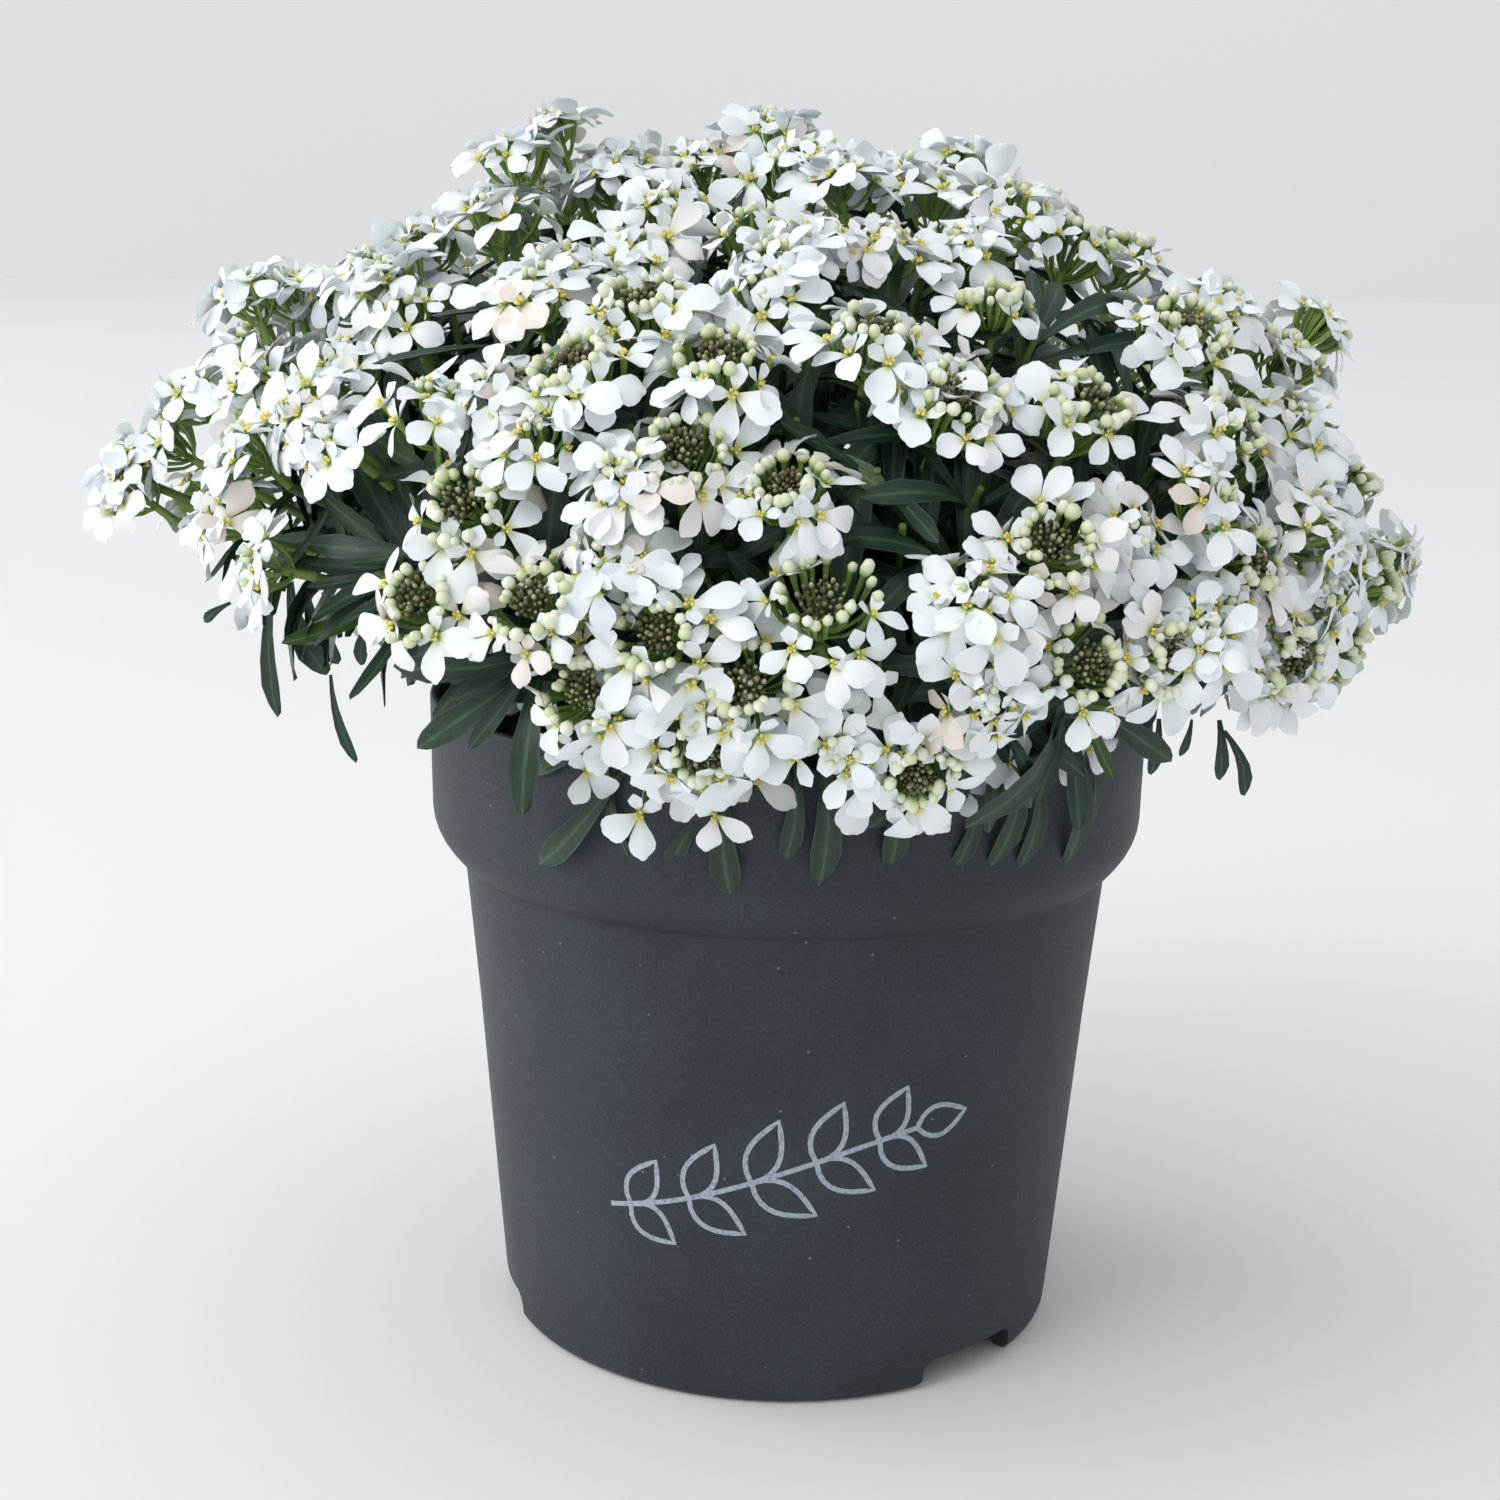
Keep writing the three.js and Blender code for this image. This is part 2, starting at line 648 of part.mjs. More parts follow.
// Leaves along a shoot, each turned until it is clear of every other branch and head.
function growLeaves(fork, forks, blooms) {
  const random = seeded(Math.round(fork.place.x * 31 + fork.place.y * 17) + 1000);
  for (const shoot of fork.shoots) {
    const wanted = Math.floor(LEAVES_PER_SHOOT + random());
    for (let i = 0; i < wanted; i += 1) {
      const along = THREE.MathUtils.lerp(...LEAF_ROOTS, random());
      const root = shoot.curve.getPoint(along);
      const way = shoot.curve.getTangent(along);
      const side = new THREE.Vector3().crossVectors(way, UP).normalize();
      const other = new THREE.Vector3().crossVectors(side, way).normalize();
      const length = THREE.MathUtils.lerp(...LEAF_LENGTH, random());
      for (let t = 0; t < LEAF_TRIES; t += 1) {
        const turn = FULL_TURN * random();
        const out = way
          .clone()
          .multiplyScalar(0.35 + 0.35 * random())
          .addScaledVector(side, Math.cos(turn))
          .addScaledVector(other, Math.sin(turn))
          .normalize();
        const middle = root.clone().addScaledVector(out, length * 0.55);
        middle.addScaledVector(way, length * LEAF_SAG);
        const tip = root.clone().addScaledVector(out, length).addScaledVector(UP, -length * LEAF_SAG);
        const before = fork.leaves.length;
        placeLeaf(fork, shoot, forks, blooms, new THREE.QuadraticBezierCurve3(root, middle, tip));
        if (fork.leaves.length > before) {
          break;
        }
      }
    }
  }
}

// Adds the leaf if it is clear of every other branch and head, of the pot and of the soil.
function placeLeaf(fork, shoot, forks, blooms, curve) {
  const probe = leafSolid(curve, LEAF_WIDTH + LEAF_CLEARANCE, LEAF_KEEL + LEAF_CLEARANCE);
  const others = forks.flatMap((other) => [
    other.stem,
    ...other.leaves,
    ...other.shoots.filter((s) => s !== shoot).map((s) => s.solid),
  ]);
  if (!isClear(probe, [...others, ...blooms, pot, soil])) {
    return;
  }
  fork.leaves.push(leafSolid(curve, LEAF_WIDTH, LEAF_KEEL));
}

// A straight shoot from the nearest fork to this place.
function growShoot(forks, place) {
  const fork = nearestFork(forks, place);
  const curve = new THREE.LineCurve3(fork.place, place);
  const shoot = { curve, solid: tube(curve, SHOOT_RADIUS, SHOOT_SIDES, 1) };
  fork.shoots.push(shoot);
  return { fork, shoot };
}

function growTwigs(forks, blooms) {
  const grown = LOW_TWIGS.map(({ end, tips }) => ({ tips, ...growShoot(forks, new THREE.Vector3(...end)) }));
  for (const { tips, fork, shoot } of grown) {
    const outward = shoot.curve.v2.clone().setZ(0).normalize();
    tips.forEach((tip, i) => {
      const root = shoot.curve.getPoint(TWIG_LAST_LEAF - TWIG_LEAF_STEP * i);
      const last = new THREE.Vector3(...tip);
      const middle = root.clone().lerp(last, 0.5);
      middle.addScaledVector(outward, TWIG_LEAF_BOW).addScaledVector(UP, TWIG_LEAF_BOW);
      placeLeaf(fork, shoot, forks, blooms, new THREE.QuadraticBezierCurve3(root, middle, last));
    });
  }
}

const part = new THREE.Group();

function addMesh(name, solid, colour, roughness) {
  const material = new THREE.MeshStandardMaterial({ color: colour, roughness, metalness: 0 });
  const mesh = new THREE.Mesh(geometryOf(solid), material);
  mesh.name = name;
  part.add(mesh);
}

const forks = makeForks();
const pot = makePot();
const soil = makeSoil(forks);
const heads = headPlaces();
const chains = chainHeads(heads);
const blooms = chains.map((chain) =>
  chain.map((head) => headSolid(head, heads)).reduce((joined, next) => joined.add(next)),
);

for (const fork of forks) {
  fork.stem = tube(stemCurve(fork), STEM_RADIUS, STEM_SIDES, 4);
}
for (const head of heads) {
  const depth = head.radius * -CORE_TIP_HEIGHT + STALK_GAP;
  growShoot(forks, head.centre.clone().addScaledVector(head.axis, -depth));
}
growTwigs(forks, blooms);
for (const fork of forks) {
  growLeaves(fork, forks, blooms);
}

addMesh("pot", pot, COLOURS.pot, 0.6);
addMesh("soil", soil, COLOURS.soil, 0.95);
forks.forEach((fork, i) => {
  const pieces = [...fork.shoots.map((s) => s.solid), ...fork.leaves];
  const branch = pieces.reduce((joined, piece) => joined.add(piece), fork.stem.add(knot(fork)));
  addMesh(`leafy_branch_${String(i + 1).padStart(2, "0")}`, branch, COLOURS.leaves, 0.55);
});
blooms.forEach((bloom, i) => {
  addMesh(`bloom_${String(i + 1).padStart(2, "0")}`, bloom, COLOURS.petals, 0.6);
});

export default part;
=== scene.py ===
import math
import random

import bmesh
import bpy
from mathutils import Matrix, Vector
from mathutils.kdtree import KDTree


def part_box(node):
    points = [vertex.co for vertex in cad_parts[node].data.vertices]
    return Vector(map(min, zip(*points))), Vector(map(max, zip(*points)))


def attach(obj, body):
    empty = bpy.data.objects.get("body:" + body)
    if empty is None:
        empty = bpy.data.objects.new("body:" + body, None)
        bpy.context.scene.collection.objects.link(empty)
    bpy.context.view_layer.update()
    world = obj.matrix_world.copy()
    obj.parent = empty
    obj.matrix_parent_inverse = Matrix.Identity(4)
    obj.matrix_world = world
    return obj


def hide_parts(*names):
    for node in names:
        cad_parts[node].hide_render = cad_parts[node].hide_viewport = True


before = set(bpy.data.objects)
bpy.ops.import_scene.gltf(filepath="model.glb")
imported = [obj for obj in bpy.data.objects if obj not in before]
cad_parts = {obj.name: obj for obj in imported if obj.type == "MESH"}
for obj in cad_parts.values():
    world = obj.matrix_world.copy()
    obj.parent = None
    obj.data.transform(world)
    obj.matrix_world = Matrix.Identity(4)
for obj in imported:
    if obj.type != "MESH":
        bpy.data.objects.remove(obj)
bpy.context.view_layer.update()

# Lengths below are in millimetres, as in the part's source; every vertex is scaled by MM.
MM = 0.001
UP = Vector((0, 0, 1))
FULL_TURN = 2 * math.pi
GOLDEN_ANGLE = math.pi * (3 - math.sqrt(5))

# Pot
POT_HEIGHT = 116.4
RIM_RADIUS = 65
COLLAR_FOOT_Z = 95.2
COLLAR_FOOT_RADIUS = 64.7
CREASE_Z = 86.3
CREASE_RADIUS = 59.05
FOOT_RADIUS = 51.5
FOOT_CORNER = 2.6
FOOT_RING_WIDTH = 1.1
WALL = 1.5
FLOOR_Z = 6.2
FLOOR_THICKNESS = 1.6
POT_SIDES = 180
FOOT_NOTCHES = 3
FIRST_NOTCH_DEG = 43
NOTCH_WIDTH = 22
NOTCH_HEIGHT = 5.6
NOTCH_CORNER = 2.5
DRAIN_HOLES = 5
DRAIN_HOLE_RADIUS = 3.5
DRAIN_CIRCLE_RADIUS = 34

# Soil
SOIL_EDGE_Z = 104
SOIL_MIDDLE_Z = 107
SOIL_GAP = 0.3
SOIL_BUMP = 0.9
SOIL_SIDES = 72
STEM_HOLE_DEPTH = 10

# Dome of flower heads
DOME_MIDDLE_X = -4
DOME_HALF_WIDTH = 106
DOME_HALF_DEPTH = 101
DOME_WIDEST_Z = 140
DOME_RISE = 71
DOME_DROP = 46
DOME_MIDDLE = Vector((DOME_MIDDLE_X, 0, DOME_WIDEST_Z))
EDGE_SKEW = 0.22
HEAD_LIFT = 0.35

# The heads of the seen side: x, z, radius and kind, read on the plane through the pot's axis
# from this place. A full head is all open flowers, a ringed one has a dark middle with pale
# buds round it, and a young one is nearly all buds.
EYE = Vector((0, -428, 201.6))
F, R, Y = "full", "ringed", "young"
SEEN_HEADS = [
    # top
    (-50, 214, 10, F), (-65, 197, 10, F), (-52, 200, 10, F), (-32, 211, 10, F), (-19, 213, 9, F),
    (-5, 215, 9, F), (-23, 204, 11, F), (-31, 197, 11, F), (-44, 193, 11, F), (-8, 202, 11, F),
    (4, 210, 10, F), (20, 210, 10, F), (-5, 193, 10, F), (16, 197, 11, F), (36, 203, 10, F),
    (51, 199, 11, R), (75, 186, 9, F), (35, 189, 8, Y),
    # left
    (-97, 187, 10, F), (-82, 189, 11, F), (-96, 174, 10, F), (-83, 177, 11, F), (-109, 168, 10, F),
    (-87, 165, 11, F), (-98, 158, 10, F), (-120, 151, 10, F), (-104, 148, 10, F), (-98, 137, 9, F),
    # middle
    (-69, 187, 10, F), (-27, 185, 12, R), (-39, 174, 12, R), (-65, 168, 12, F), (-13, 175, 12, R),
    (-61, 150, 12, R), (-46, 162, 9, F), (-69, 132, 12, R), (-47, 132, 12, R), (-20, 160, 13, R),
    (-1, 154, 10, R), (-34, 141, 9, F), (-24, 126, 12, R), (-38, 115, 11, R), (-8, 117, 12, R),
    (6, 133, 14, R), (-15, 104, 11, R), (9, 104, 10, F), (14, 179, 11, R), (29, 170, 13, R),
    (53, 170, 13, R), (47, 144, 12, R), (34, 133, 11, F), (36, 115, 10, F), (24, 102, 10, R),
    (55, 122, 12, R), (69, 124, 11, R), (62, 148, 9, F),
    # right
    (68, 181, 12, R), (89, 181, 11, R), (78, 167, 11, R), (90, 168, 10, F), (76, 153, 10, F),
    (84, 141, 10, R), (96, 155, 11, F), (107, 140, 11, F), (94, 130, 10, F), (87, 120, 8, F),
]

# Heads that fill in between those, seen and set in the same way.
SMALLER_SEEN_HEADS = [
    (-42, 215, 8, F), (-57, 203, 9, F), (-72, 189, 9, F), (-34, 208, 9, F), (-5, 210, 10, F),
    (8, 209, 9, F), (28, 210, 8, F), (28, 199, 9, F), (4, 197, 11, F), (-90, 188, 9, F),
    (-99, 169, 10, F), (-113, 159, 9, F), (-83, 160, 8, F), (-121, 156, 7, F), (93, 184, 9, R),
    (-75, 190, 9, F), (-46, 187, 11, F), (-7, 188, 10, F),
    (-53, 170, 9, F), (-30, 154, 8, F), (27, 175, 9, F), (94, 146, 11, F),
    (102, 142, 11, F), (109, 142, 8, F), (81, 134, 10, F), (96, 135, 10, F), (91, 124, 11, R),
    (74, 127, 9, F),
]
HEAD_SPREAD = 1.08

# The heads of the unseen side follow a golden-angle spiral down the dome, then a closer one
# that fills in between them.
SPIRAL_POINTS = 190
SPIRAL_TOP = 0.97
SPIRAL_LOW = -0.5
SPIRAL_FRONT_Y = -18
SPIRAL_SPACING = 24
FILL_POINTS = 420
FILL_SPACING = 15.5
FILL_FRONT_Y = -30

# Places in the seen outline, as x, z and radius, that stay open: no filling head shows there.
OPEN_PLACES = ((-106, 130, 15), (-96, 118, 14), (76, 195, 9))
UNSEEN_HEAD_RADIUS = 11.8

# Branches, as in the part's source
FORK_RINGS = [
    (50, 137, 34, (-162, -127, -98, -70, -38, 2, 50, 100, 150)),
    (20, 156, 12, (-130, -45, 85)),
]
STEM_RADIUS = 1.8
SHOOT_RADIUS = 0.8

# Leafy tips without flowers, which fill the gaps between the heads: x and z as above, and how
# deep each lies as a share of the way from the dome's middle.
LEAFY_TIPS = [
    (22, 147, 0.94), (30, 140, 0.92), (17, 158, 0.93), (38, 155, 0.92), (47, 185, 0.93),
    (20, 186, 0.93), (-32, 166, 0.92), (-18, 138, 0.92), (1, 168, 0.92), (40, 138, 0.9),
    (64, 134, 0.92), (72, 160, 0.92), (-58, 184, 0.93), (-50, 191, 0.93), (-28, 141, 0.92),
    (-84, 138, 0.86), (-76, 142, 0.88), (12, 118, 0.9), (44, 108, 0.9), (-55, 118, 0.88),
    (62, 112, 0.9), (-2, 143, 0.9), (36, 180, 0.92),
]

# Leaves that hang over the rim at the front: x and z of root and tip, and width.
RIM_LEAF_DISTANCE = 69
RIM_LEAF_HIDDEN = 5
RIM_LEAVES = [
    (-34, 96, -47, 82, 4.8), (-33, 97, -32, 81, 3.2), (-41, 103, -51, 100, 3.4), (-18, 88, -23, 80, 4.2),
    (-11, 91, -11, 75, 4.6), (1, 97, 0, 81, 3.4), (6, 100, 7, 78, 4.6), (22, 96, 22, 82, 4.2),
    (35, 94, 35, 82, 2.8), (42, 101, 42, 81, 4.6), (46, 98, 48, 83, 3.4), (53, 103, 57, 85, 5.0),
    (57, 102, 61, 90, 2.8), (61, 104, 63, 98, 2.6),
]

# Leaves that hang free at the sides: x and z of root and tip, and width.
SIDE_LEAF_DEPTH = 0.97
SIDE_LEAF_TURN = 0.3
SIDE_LEAVES = [
    (-94, 134, -94, 107, 3.4), (-91, 134, -84, 118, 5.6), (-76, 128, -79, 118, 4.4),
    (-102, 130, -108, 126, 3.4), (-84, 117, -79, 101, 2.2), (-88, 133, -82, 120, 4.4),
    (68, 112, 67, 102, 3.6), (74, 112, 72, 105, 3.4), (79, 112, 80, 100, 3.2),
    (80, 110, 85, 98, 3.0), (63, 110, 62, 102, 3.6),
]

# Single flowers below the lowest heads: x, z, the way the large petals point (0 up, 90 right),
# size, and distance from the pot's axis.
LOOSE_FLOWERS = [
    (-27, 92, 200, 1.05, 79), (-13, 92, 160, 0.9, 80), (-13, 100, 180, 0.9, 84), (-6, 99, 95, 1.0, 80),
    (15, 99, 160, 1.25, 80), (31, 99, 115, 0.85, 80), (26, 94, 170, 0.75, 78), (-37, 100, 170, 0.9, 79),
    (-31, 105, 260, 1.0, 83), (-20, 98, 200, 0.9, 82), (38, 107, 140, 0.95, 84), (50, 103, 180, 0.65, 80),
    (55, 106, 100, 0.75, 82), (16, 117, 200, 0.95, 92), (-45, 111, 260, 0.65, 84), (7, 113, 10, 1.0, 90),
    (-24, 101, 110, 0.85, 83), (-7, 104, 60, 0.9, 84), (-43, 106, 220, 0.7, 82), (41, 103, 200, 0.7, 82),
]


def linear(hex_colour):
    """An sRGB hex colour as linear RGBA."""
    parts = [int(hex_colour[i : i + 2], 16) / 255 for i in (1, 3, 5)]
    return [c / 12.92 if c <= 0.04045 else ((c + 0.055) / 1.055) ** 2.4 for c in parts] + [1.0]


def add(tree, kind, inputs=None, stops=(), **settings):
    """Adds a node with its settings, sets or links each input named, and gives a colour ramp
    its (position, hex colour) stops."""
    node = tree.nodes.new(kind)
    for name, value in settings.items():
        setattr(node, name, value)
    for name, value in (inputs or {}).items():
        if isinstance(value, bpy.types.NodeSocket):
            tree.links.new(value, node.inputs[name])
        else:
            node.inputs[name].default_value = value
    if stops:
        elements = node.color_ramp.elements
        while len(elements) < len(stops):
            elements.new(1.0)
        for element, (position, colour) in zip(elements, stops):
            element.position = position
            element.color = linear(colour)
    return node


def mesh_object(name, mesh):
    made = bpy.data.objects.new(name, mesh)
    bpy.context.scene.collection.objects.link(made)
    return made


# Where things are


def way_at(angle):
    """The level way at this angle."""
    return Vector((math.cos(angle), math.sin(angle), 0))


def jitter(chance, most):
    """A small chance shift each way."""
    return Vector([chance.uniform(-most, most) for _ in range(3)])


def near_side(start, step):
    """How many steps from start the unit ball is first met, or None where it is missed."""
    a = step.length_squared
    b = 2 * start.dot(step)
    inside = b * b - 4 * a * (start.length_squared - 1)
    return (-b - math.sqrt(inside)) / (2 * a) if inside > 0 else None


def seen_place(x, z):
    """Where a head seen at x, z lies: on the near side of the dome, or beside it at its edge."""
    way = Vector((x, 0, z)) - EYE
    for half in (DOME_RISE, DOME_DROP):
        scale = Vector((1 / DOME_HALF_WIDTH, 1 / DOME_HALF_DEPTH, 1 / half))
        steps = near_side((EYE - DOME_MIDDLE) * scale, way * scale)
        if steps is None:
            continue
        place = EYE + way * steps
        if half == DOME_DROP or place.z >= DOME_WIDEST_Z:
            return place
    return EYE + way * (1 + EDGE_SKEW * x / -EYE.y)


def before_pot(x, z, distance):
    """Where something seen at x, z is, if it hangs at this distance from the pot's axis."""
    way = Vector((x, 0, z)) - EYE
    scale = Vector((1 / distance, 1 / distance, 0))
    steps = near_side(EYE * scale, way * scale)
    return EYE + way * (1 if steps is None else steps)


def dome_share(place):
    """How far out a place is: 1 on the dome's surface, less inside it."""
    half = DOME_RISE if place.z > DOME_WIDEST_Z else DOME_DROP
    way = place - DOME_MIDDLE
    return Vector((way.x / DOME_HALF_WIDTH, way.y / DOME_HALF_DEPTH, way.z / half)).length


def facing(place):
    """The way a head at this place faces: out of the dome and a little up."""
    half = DOME_RISE if place.z > DOME_WIDEST_Z else DOME_DROP
    way = place - DOME_MIDDLE
    out = Vector((way.x / DOME_HALF_WIDTH**2, way.y / DOME_HALF_DEPTH**2, way.z / half**2))
    return (out.normalized() + UP * HEAD_LIFT).normalized()


def seen_at(place):
    """Where a place is seen, as x and z on the plane through the pot's axis."""
    at = EYE.lerp(place, EYE.y / (EYE.y - place.y))
    return at.x, at.z


def stays_open(place):
    x, z = seen_at(place)
    return any(math.hypot(x - open_x, z - open_z) < radius for open_x, open_z, radius in OPEN_PLACES)


def spiral(count):
    for i in range(count):
        rise = SPIRAL_TOP + (SPIRAL_LOW - SPIRAL_TOP) * (i + 0.5) / count
        spread = math.sqrt(1 - rise * rise)
        angle = i * GOLDEN_ANGLE
        yield Vector((
            DOME_MIDDLE_X + DOME_HALF_WIDTH * spread * math.cos(angle),
            DOME_HALF_DEPTH * spread * math.sin(angle),
            DOME_WIDEST_Z + (DOME_RISE if rise > 0 else DOME_DROP) * rise,
        ))


def basis(toward, up):
    """A turn that takes +Z to toward, and +X as near to up as it can be."""
    z = toward.normalized()
    x = (up - z * up.dot(z)).normalized()
    return Matrix((x, z.cross(x), z)).transposed()


# How heads vary: their lean, how deep they stand, and the shares of full, ringed and young ones.
HEAD_TILT = 0.24
HEAD_STAGGER = 4.0
UNSEEN_KINDS = (5, 4, 1)


def make_heads():
    chance = random.Random(5)
    heads = []
    for seen, points, spacing, front_y in (
        (SEEN_HEADS, SPIRAL_POINTS, SPIRAL_SPACING, SPIRAL_FRONT_Y),
        (SMALLER_SEEN_HEADS, FILL_POINTS, FILL_SPACING, FILL_FRONT_Y),
    ):
        for x, z, radius, kind in seen:
            heads.append({"centre": seen_place(x, z), "radius": radius * HEAD_SPREAD, "kind": kind})
        for centre in spiral(points):
            free = all((head["centre"] - centre).length > spacing for head in heads)
            if centre.y > front_y and free:
                heads.append({"centre": centre, "radius": UNSEEN_HEAD_RADIUS, "kind": None})
    heads = [head for head in heads if head["kind"] or not stays_open(head["centre"])]
    for head in heads:
        if head["kind"] is None:
            head["kind"] = chance.choices((F, R, Y), UNSEEN_KINDS)[0]
        tilt = jitter(chance, HEAD_TILT)
        head["axis"] = (facing(head["centre"]) + tilt).normalized()
        head["centre"] = head["centre"] - head["axis"] * chance.uniform(-0.25, 1) * HEAD_STAGGER
        head["frame"] = basis(head["axis"], Vector((0, -0.3, 0.7)))
    return heads


# Small closed forms, each made once and set out many times


def form_object(name, verts, faces, rim=(), **attributes):
    """A small smooth mesh with a number for each vertex under each attribute name."""
    mesh = bpy.data.meshes.new(name)
    mesh.from_pydata([Vector(v) * MM for v in verts], [], faces)
    mesh.polygons.foreach_set("use_smooth", [True] * len(mesh.polygons))
    if rim:
        ring = {frozenset(pair) for pair in rim}
        for edge in mesh.edges:
            edge.use_edge_sharp = frozenset(edge.vertices) in ring
    for attribute, values in attributes.items():
        mesh.attributes.new(attribute, "FLOAT", "POINT").data.foreach_set("value", values)
    mesh.validate()
    return bpy.data.objects.new(name, mesh)


class Blades:
    """Thin closed blades in one mesh: an upper and a lower skin that share their rim."""

    def __init__(self):
        self.verts = []
        self.faces = []
        self.rim = []
        self.along = []
        self.across = []
        self.under = []

    def vertex(self, place, along, across, under):
        self.verts.append(place)
        self.along.append(along)
        self.across.append(across)
        self.under.append(under)
        return len(self.verts) - 1

    def blade(self, stations, columns, surface, thickness):
        """surface(u, v) gives a place and the normal there, for u at each station, v -1 to 1."""
        rows = len(stations) - 1
        upper = []
        lower = []
        for r, u in enumerate(stations):
            upper.append([])
            lower.append([])
            for c in range(columns + 1):
                v = 2 * c / columns - 1
                place, normal = surface(u, v)
                upper[r].append(self.vertex(place, u, v, 0.0))
                if 0 < r < rows and 0 < c < columns:
                    lower[r].append(self.vertex(place - normal * thickness, u, v, 1.0))
                else:
                    lower[r].append(upper[r][c])
        for r in range(rows):
            for c in range(columns):
                top = [upper[r][c], upper[r + 1][c], upper[r + 1][c + 1], upper[r][c + 1]]
                bottom = [lower[r][c], lower[r][c + 1], lower[r + 1][c + 1], lower[r + 1][c]]
                self.faces.append(top[::-1])
                self.faces.append(bottom[::-1])
        edge = [upper[0][c] for c in range(columns + 1)]
        edge += [upper[r][columns] for r in range(1, rows + 1)]
        edge += [upper[rows][c] for c in range(columns - 1, -1, -1)]
        edge += [upper[r][0] for r in range(rows - 1, 0, -1)]
        self.rim += list(zip(edge, edge[1:] + edge[:1]))

    def object(self, name):
        return form_object(
            name, self.verts, self.faces, self.rim,
            along=self.along, across=self.across, under=self.under,
        )


# Petals: a narrow claw that widens to a round blade
CLAW_WIDTH = 0.15
WIDEST_AT = 0.66
TIP_REACH = 0.37
PETAL_TIP_ROUND = 0.09
PETAL_THICKNESS = 0.28
PETAL_STEPS = 50
CLAW_START = 0.45

# A petal's length and width, where its cross rows stand, its columns, and the least and most
# of: share of length, share of width, turn, rise and fall in degrees, cup, wave and twist.
LARGE_PETAL = {
    "size": (6.8, 4.3),
    "stations": (0.0, 0.22, 0.44, 0.66, 0.82, 0.94, 1.0),
    "columns": 4,
    "ranges": (
        (0.88, 1.1), (0.88, 1.12), (26, 46), (22, 58), (-42, 12), (-0.3, 0.3), (-0.16, 0.16), (-0.4, 0.4),
    ),
}
SMALL_PETAL = {
    "size": (4.0, 2.7),
    "stations": (0.0, 0.4, 0.76, 1.0),
    "columns": 2,
    "ranges": (
        (0.8, 1.15), (0.85, 1.15), (122, 148), (24, 50), (-20, 24), (-0.1, 0.3), (-0.1, 0.1), (-0.2, 0.2),
    ),
}


def share_at(shares, u):
    """A value from evenly spaced ones, blended straight between them."""
    at = min(u, 0.9999) * (len(shares) - 1)
    i = int(at)
    return shares[i] + (shares[i + 1] - shares[i]) * (at - i)


def petal_width(u):
    """A petal's width at u along it, as a share of the greatest."""
    if u < WIDEST_AT:
        return CLAW_WIDTH + (1 - CLAW_WIDTH) * math.sin(math.pi / 2 * (u / WIDEST_AT) ** 1.3)
    return math.sqrt(1 - ((u - WIDEST_AT) / TIP_REACH) ** 2)


def petal_surface(size, turn, rise, fall, cup, wave, twist):
    """The surface of one petal: it leaves the middle at the angle rise and ends at fall."""
    length, width = size
    steps = PETAL_STEPS
    middle = [Vector((CLAW_START, 0, 0))]
    for i in range(steps):
        angle = rise + (fall - rise) * ((i + 0.5) / steps) ** 0.8
        middle.append(middle[-1] + Vector((math.cos(angle), 0, math.sin(angle))) * (length / steps))
    spin = Matrix.Rotation(turn, 3, "Z")

    def surface(u, v):
        place = middle[round(u * steps)]
        angle = rise + (fall - rise) * u**0.8
        ahead = Vector((math.cos(angle), 0, math.sin(angle)))
        normal = Vector((-math.sin(angle), 0, math.cos(angle)))
        half = width / 2 * petal_width(u)
        lift = cup * half * v * v + wave * half * v * math.sin(4 * u) + twist * half * v * u
        back = -PETAL_TIP_ROUND * length * u**3 * v * v
        out = place + ahead * back + Vector((0, half * v, 0)) + normal * lift
        return spin @ out, spin @ normal

    return surface


FLOWER_FORMS = 12


def flower_forms():
    """Open flowers: two large petals outward, two small ones inward."""
    chance = random.Random(21)
    made = []
    for i in range(FLOWER_FORMS):
        blades = Blades()
        for petal in (LARGE_PETAL, SMALL_PETAL):
            for side in (-1, 1):
                length, width, turn, rise, fall, cup, wave, twist = (
                    chance.uniform(least, most) for least, most in petal["ranges"]
                )
                size = (petal["size"][0] * length, petal["size"][1] * width)
                turn, rise, fall = (math.radians(angle) for angle in (turn, rise, fall))
                surface = petal_surface(size, side * turn, rise, fall, cup, wave, twist)
                blades.blade(petal["stations"], petal["columns"], surface, PETAL_THICKNESS)
        made.append(blades.object(f"flower_form_{i}"))
    return made


def round_form(name, rings, sides):
    """A closed turned form from (radius, height) rings; the first and last are points."""
    verts = [Vector((0, 0, rings[0][1]))]
    along = [0.0]
    low = rings[0][1]
    span = rings[-1][1] - low
    for radius, height in rings[1:-1]:
        for i in range(sides):
            angle = i / sides * FULL_TURN
            verts.append(Vector((radius * math.cos(angle), radius * math.sin(angle), height)))
            along.append((height - low) / span)
    verts.append(Vector((0, 0, rings[-1][1])))
    along.append(1.0)
    last = len(verts) - 1
    faces = []
    for i in range(sides):
        k = (i + 1) % sides
        faces.append((0, 1 + k, 1 + i))
        for ring in range(len(rings) - 3):
            a = 1 + ring * sides
            faces.append((a + i, a + k, a + sides + k, a + sides + i))
        a = 1 + (len(rings) - 3) * sides
        faces.append((a + i, a + k, last))
    return form_object(name, verts, faces, along=along)


